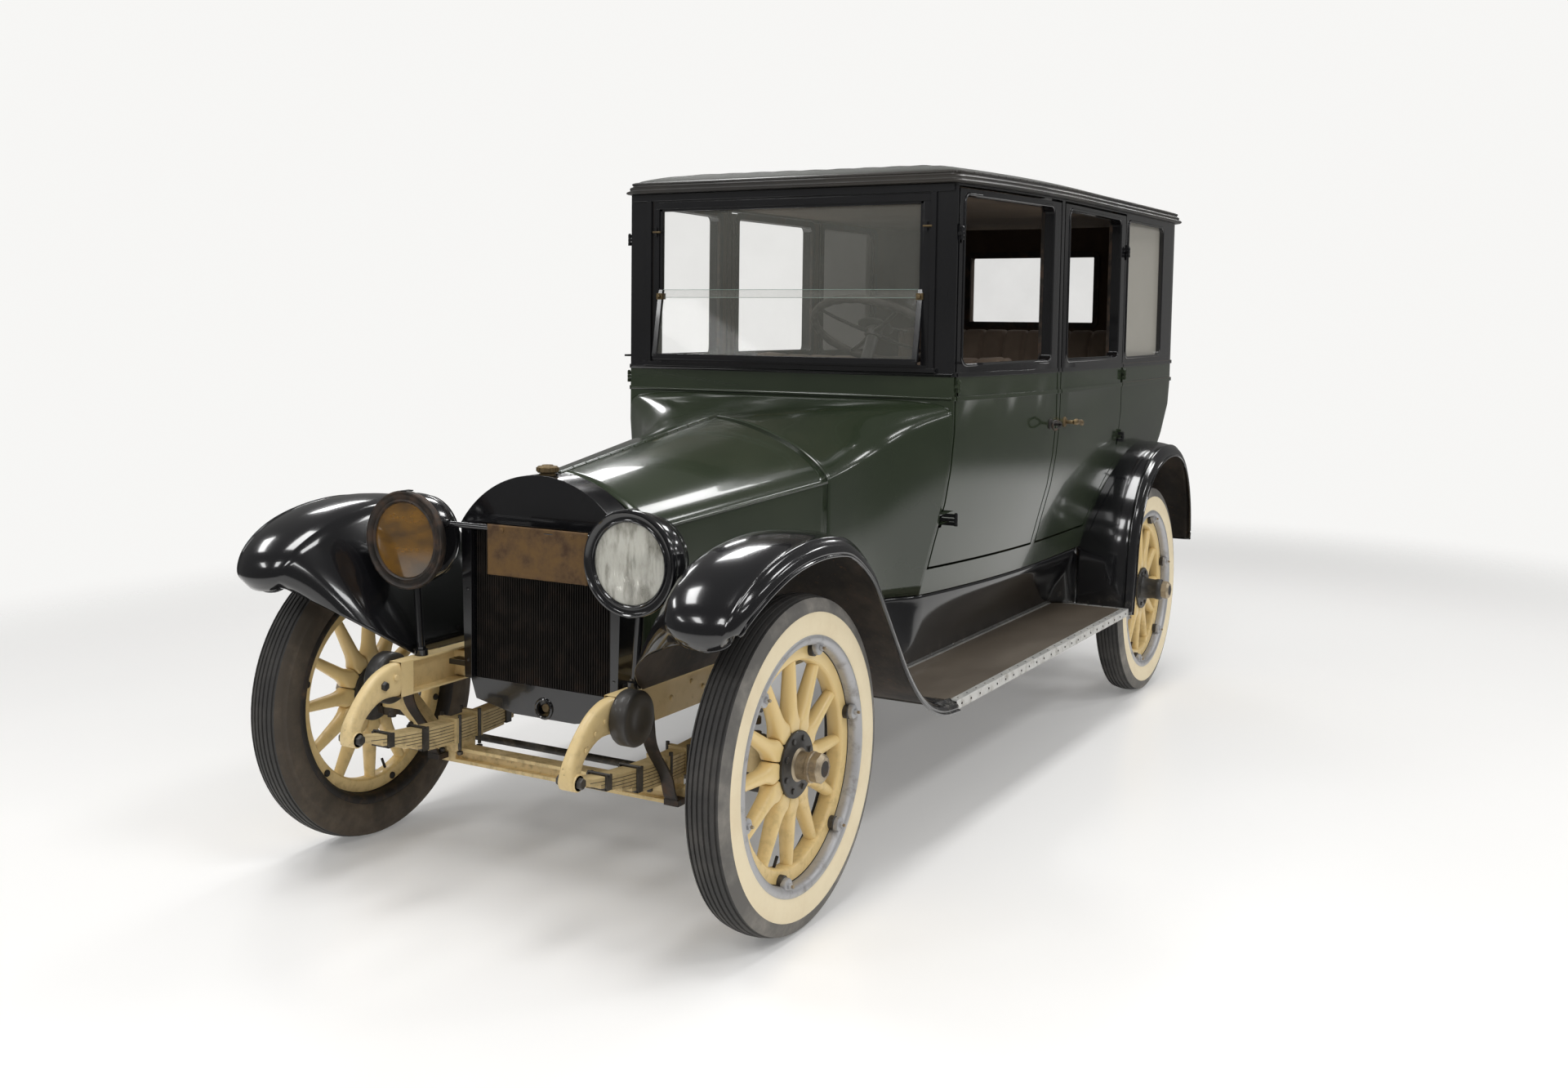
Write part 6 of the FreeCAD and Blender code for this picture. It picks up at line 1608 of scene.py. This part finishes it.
# %% Dashboard and levers
skin("dashboard", [DASH_WOOD], edge=0.003)
DIALS = ((-0.02, 0.042), (-0.135, 0.034), (-0.235, 0.034))
dials = Clay()
board = at(0, BODY_FRONT + 0.0583, 1.3)
for x, radius in DIALS:
    centre = board + X * x
    dials.lathe([(0.0, radius), (0.008, radius), (0.01, radius - 0.004), (0.006, radius - 0.006)], centre, Y, 36, 1)
    dials.lathe([(0.0045, 0.0), (0.0045, radius - 0.005)], centre, Y, 36, 2)
    dials.rod(centre + Y * 0.0055, centre + Vector((radius * 0.4, 0.0055, radius * 0.5)), 0.001, 6)
for x in (-0.33, -0.365, -0.4):
    dials.rod(board + X * x, board + X * x + Y * 0.016, 0.008, 16, 1, 0.002)
dials.fire("dash_dials", "car", [DARK_IRON, BRASS, IVORY], smooth=40)
skin("driver_controls", [SATIN_BLACK], smooth=40)
knobs = Clay()
for x, y, z, radius in ((0.0, -0.05, 1.055, 0.022), (0.1, -0.1, 0.975, 0.015)):
    centre = at(x, y, z + radius * 0.5)
    knobs.lathe([(-radius, 0.0), (-radius * 0.9, radius * 0.5), (-radius * 0.5, radius * 0.88), (0, radius),
                 (radius * 0.5, radius * 0.87), (radius * 0.87, radius * 0.5), (radius, 0.0)], centre, Z, 28)
knobs.fire("lever_knobs", "car", [RIM_WOOD], smooth=60)
print("dials", len(DIALS))

# %% [markdown]
# ## Chassis, springs and axles
# The frame and its curved dumb irons are cream and grimy, with black rivets and bolts. The leaf springs are held by
# black clips, and the forged axle carries the spring seats. The round drums beside the rails are strap snubbers,
# whose belts run down to the axle.

# %% Frame and running gear
CREAM_END, HORN_START = SHIFT - 0.66, SHIFT - 1.853
skin("chassis_frame", [FRAME_CREAM, SATIN_BLACK], lambda spot, normal: 0 if spot.y < CREAM_END else 1, smooth=32,
     edge=0.003, cuts=[(Y, CREAM_END)], drop=lambda spot: spot.y < HORN_START)
RAIL_X, EYE_Z = 0.356, 0.4365
horn = Clay()
HORN = [(-1.846, 0.5645, 0.0465, 0.0205), (-1.88, 0.564, 0.044, 0.02), (-1.925, 0.553, 0.037, 0.0185),
        (-1.968, 0.527, 0.03, 0.0175), (-2.003, 0.493, 0.0255, 0.0175), (-2.022, 0.462, 0.025, 0.02),
        (-2.0265, 0.44, 0.0235, 0.0225), (-2.0265, 0.424, 0.02, 0.022)]
rings, rows = [], flow(HORN, 34)
for i, (y, z, tall, wide) in enumerate(rows):
    run = (rows[min(i + 1, 33)] - rows[max(i - 1, 0)]).xy.normalized()
    rings.append([at(RAIL_X + u, y - v * run.y, z + v * run.x) for u, v in oval(tall, wide, 3.6, 24)])
horn.grid(rings, cap=True)
horn.rod(at(RAIL_X - 0.025, -2.02, EYE_Z), at(RAIL_X + 0.025, -2.02, EYE_Z), 0.0225, 28, 0, 0.003)
for y, z in ((-1.905, 0.562), (-1.945, 0.54), (-1.985, 0.508)):
    horn.bolt(at(0.3755, y, z), X, 0.0065, 0.003, 0, 12)
horn.bolt(at(0.3365, -1.915, 0.56), -X, 0.013, 0.01, 1)
horn.bolt(at(0.3365, -1.87, 0.575), -X, 0.009, 0.006, 0, 12)
horn.mirrored().fire("dumb_irons", "car", [FRAME_CREAM, SATIN_BLACK], ["chassis_frame"], smooth=40)
skin("leaf_springs", [LEAF_CREAM, SATIN_BLACK], lambda spot, normal: 0 if spot.y < 0 else 1, smooth=32, edge=0.0012)
skin("front_axle", [FRAME_CREAM], smooth=32, edge=0.003)
for name, finish, edge in (
    ("rear_axle", SATIN_BLACK, 0.0), ("engine_block", IRON, 0.008), ("exhaust", IRON, 0.002),
    ("fuel_tank", SATIN_BLACK, 0.008), ("floor", FLOOR_WOOD, 0.002), ("spare_carrier", SATIN_BLACK, 0.002),
    ("seat_frames", LINING, 0.004), ("knuckle_left", GREASE, 0.002), ("knuckle_right", GREASE, 0.002),
    ("tie_rod", SATIN_BLACK, 0.001),
):
    skin(name, [finish], edge=edge)
print("running gear skinned")

# %% Spring clips, bolts and rivets
LEAVES, LEAF = 7, 0.009
gear = Clay()


def leaf_reach(i):
    """How far a leaf reaches, as a share of the top one."""
    return 1 - 0.62 * i / (LEAVES - 1)


def leaf_top(y, middle_y, half, eye, top):
    return mixed(top, eye, ((y - middle_y) / half) ** 2)


def clip(x, y, middle_y, half, eye, top):
    share = abs(y - middle_y) / half
    leaves = sum(1 for i in range(LEAVES) if leaf_reach(i) > share + 0.03)
    z = leaf_top(y, middle_y, half, eye, top)
    low = z - LEAF * leaves - 0.006
    for x0, x1, high in ((-0.03, 0.03, low + 0.006), (-0.031, -0.0255, z + 0.006), (0.0255, 0.031, z + 0.006)):
        gear.box(at(x + x0, y - 0.012, low), at(x + x1, y + 0.012, high))
    gear.rod(at(x - 0.034, y, z + 0.004), at(x + 0.034, y, z + 0.004), 0.0045, 10)


def leaf_lines(x, middle_y, half, eye, top):
    """The dark joints between the leaves, along both sides of a spring."""
    for i in range(1, LEAVES):
        spots = [middle_y + half * leaf_reach(i) * (k / 12 - 1) for k in range(25)]
        for out in (-0.0252, 0.0252):
            gear.sweep([at(x + out, y, leaf_top(y, middle_y, half, eye, top) - LEAF * i) for y in spots],
                       circle(0.0008, 4))


AXLE = -BASE / 2
FRONT_SPRING, REAR_SPRING = (AXLE, 0.445, 0.441, 0.402), (BASE / 2, 0.56, 0.568, 0.556)
REAR_SPRING_X = 0.44
for way in (-1, 1):
    leaf_lines(way * RAIL_X, *FRONT_SPRING)
    leaf_lines(way * REAR_SPRING_X, *REAR_SPRING)
    for gap in (-0.325, -0.185, 0.185, 0.325):
        clip(way * RAIL_X, AXLE + gap, *FRONT_SPRING)
        clip(way * REAR_SPRING_X, BASE / 2 + gap * 1.26, *REAR_SPRING)
    for out in (-1, 1):
        for y in (-2.02, -1.13):
            gear.bolt(at(way * RAIL_X + out * 0.0245, y, EYE_Z), X * out, 0.015, 0.013)
        for y in (-0.044, 0.044):
            u_bolt = at(way * RAIL_X + out * 0.033, AXLE + y, 0.318)
            gear.rod(u_bolt, u_bolt + Z * 0.102, 0.0055, 10)
            gear.bolt(u_bolt - Z * 0.004, -Z, 0.009, 0.01)
    for y, z in ((-1.6, 0.56), (-1.5, 0.585), (-1.44, 0.56), (-1.3, 0.575), (-1.12, 0.56), (-1.05, 0.59),
                 (-0.9, 0.565)):
        gear.bolt(at(way * 0.3768, y, z), X * way, 0.007, 0.0035, 1, 12)
    gear.rod(at(way * 0.62, AXLE, 0.52), at(way * 0.62, AXLE, 0.54), 0.012, 16, 2, 0.002)
    for x, z in ((0.48, 0.33), (0.52, 0.362)):
        gear.bolt(at(way * x, AXLE - 0.026, z), -Y, 0.0085, 0.007)
gear.fire("clips_bolts_and_rivets", "car", [SATIN_BLACK, FRAME_CREAM, GREASE], smooth=40)
print("small parts", len(gear.faces), "faces")

# %% Strap snubbers
snub = Clay()
drum_y, drum_z = -1.8284, 0.5592
snub.lathe([(0.0003, 0.0), (0.0003, 0.06), (0.004, 0.068), (0.01, 0.0715), (0.044, 0.0715), (0.05, 0.068),
            (0.053, 0.06), (0.0535, 0.03), (0.0515, 0.026), (0.0515, 0.0)], at(0.377, drum_y, drum_z), X, 56)
strap = flow([(drum_y + 0.0728, drum_z), (drum_y + 0.09, drum_z - 0.09), (-1.665, 0.37), (-1.64, 0.305),
              (-1.612, 0.292)], 24)
snub.sweep([at(0.403, v.x, v.y) for v in strap], slab(0.038, 0.006), up=Vector((0, 1, 0.2)), mark=1)
snub.box(at(0.381, -1.64, 0.284), at(0.425, -1.5985, 0.3), 1)
snub.bolt(at(0.403, -1.625, 0.3), Z, 0.01, 0.008, 1)
snub.mirrored().fire("strap_snubbers", "car", [SATIN_BLACK, RUSTY_BLACK], ["snubbers"], smooth=45, slot="chassis black")
print("snubbers", 2)

# %% [markdown]
# ## Tail
# The spare rides on its carrier behind the body, on a silver rim with no spokes, and a small lamp with a red lens
# stands out on the left.

# %% Spare and tail lamp
spare_at = at(0, BODY_REAR + 0.08, 0.88)
spare = Clay().lathe(TYRE, spare_at, Y, 96, tyre_marks(TYRE), closed=True)
rim(spare, 4, 5, spare_at, Y)
for x, z in circle(0.297, 6):
    lug = spare_at + Vector((x, 0, z))
    spare.box(lug + Vector((-0.012, -0.02, -0.012)), lug + Vector((0.012, 0.022, 0.012)), 5)
    spare.bolt(lug + Y * 0.022, Y, 0.01, 0.008, 5)
spare.fire("spare_tyre_ribbed", "car", [TREAD, SHOULDER, IVORY, SIDEWALL, SILVER, DARK_IRON], ["spare_tyre"], smooth=40,
           slot="tyre rubber")
skin("tail_lamp", [BLACK], smooth=40, edge=0.0015)
lamp_at = at(0.44, 2.15, 0.6753)
tail = Clay().lathe([(0.0, 0.042), (0.0, 0.0438), (0.007, 0.0438), (0.01, 0.04), (0.0105, 0.036), (0.006, 0.035)],
                    lamp_at, Y, 40, 0)
tail.lathe([(0.006, 0.035), (0.0085, 0.025), (0.01, 0.012), (0.0105, 0.0)], lamp_at, Y, 40, 1)
tail.fire("tail_lamp_lens", "car", [BLACK, RED_LENS], smooth=50)
print("spare at", [round(v, 3) for v in spare_at])
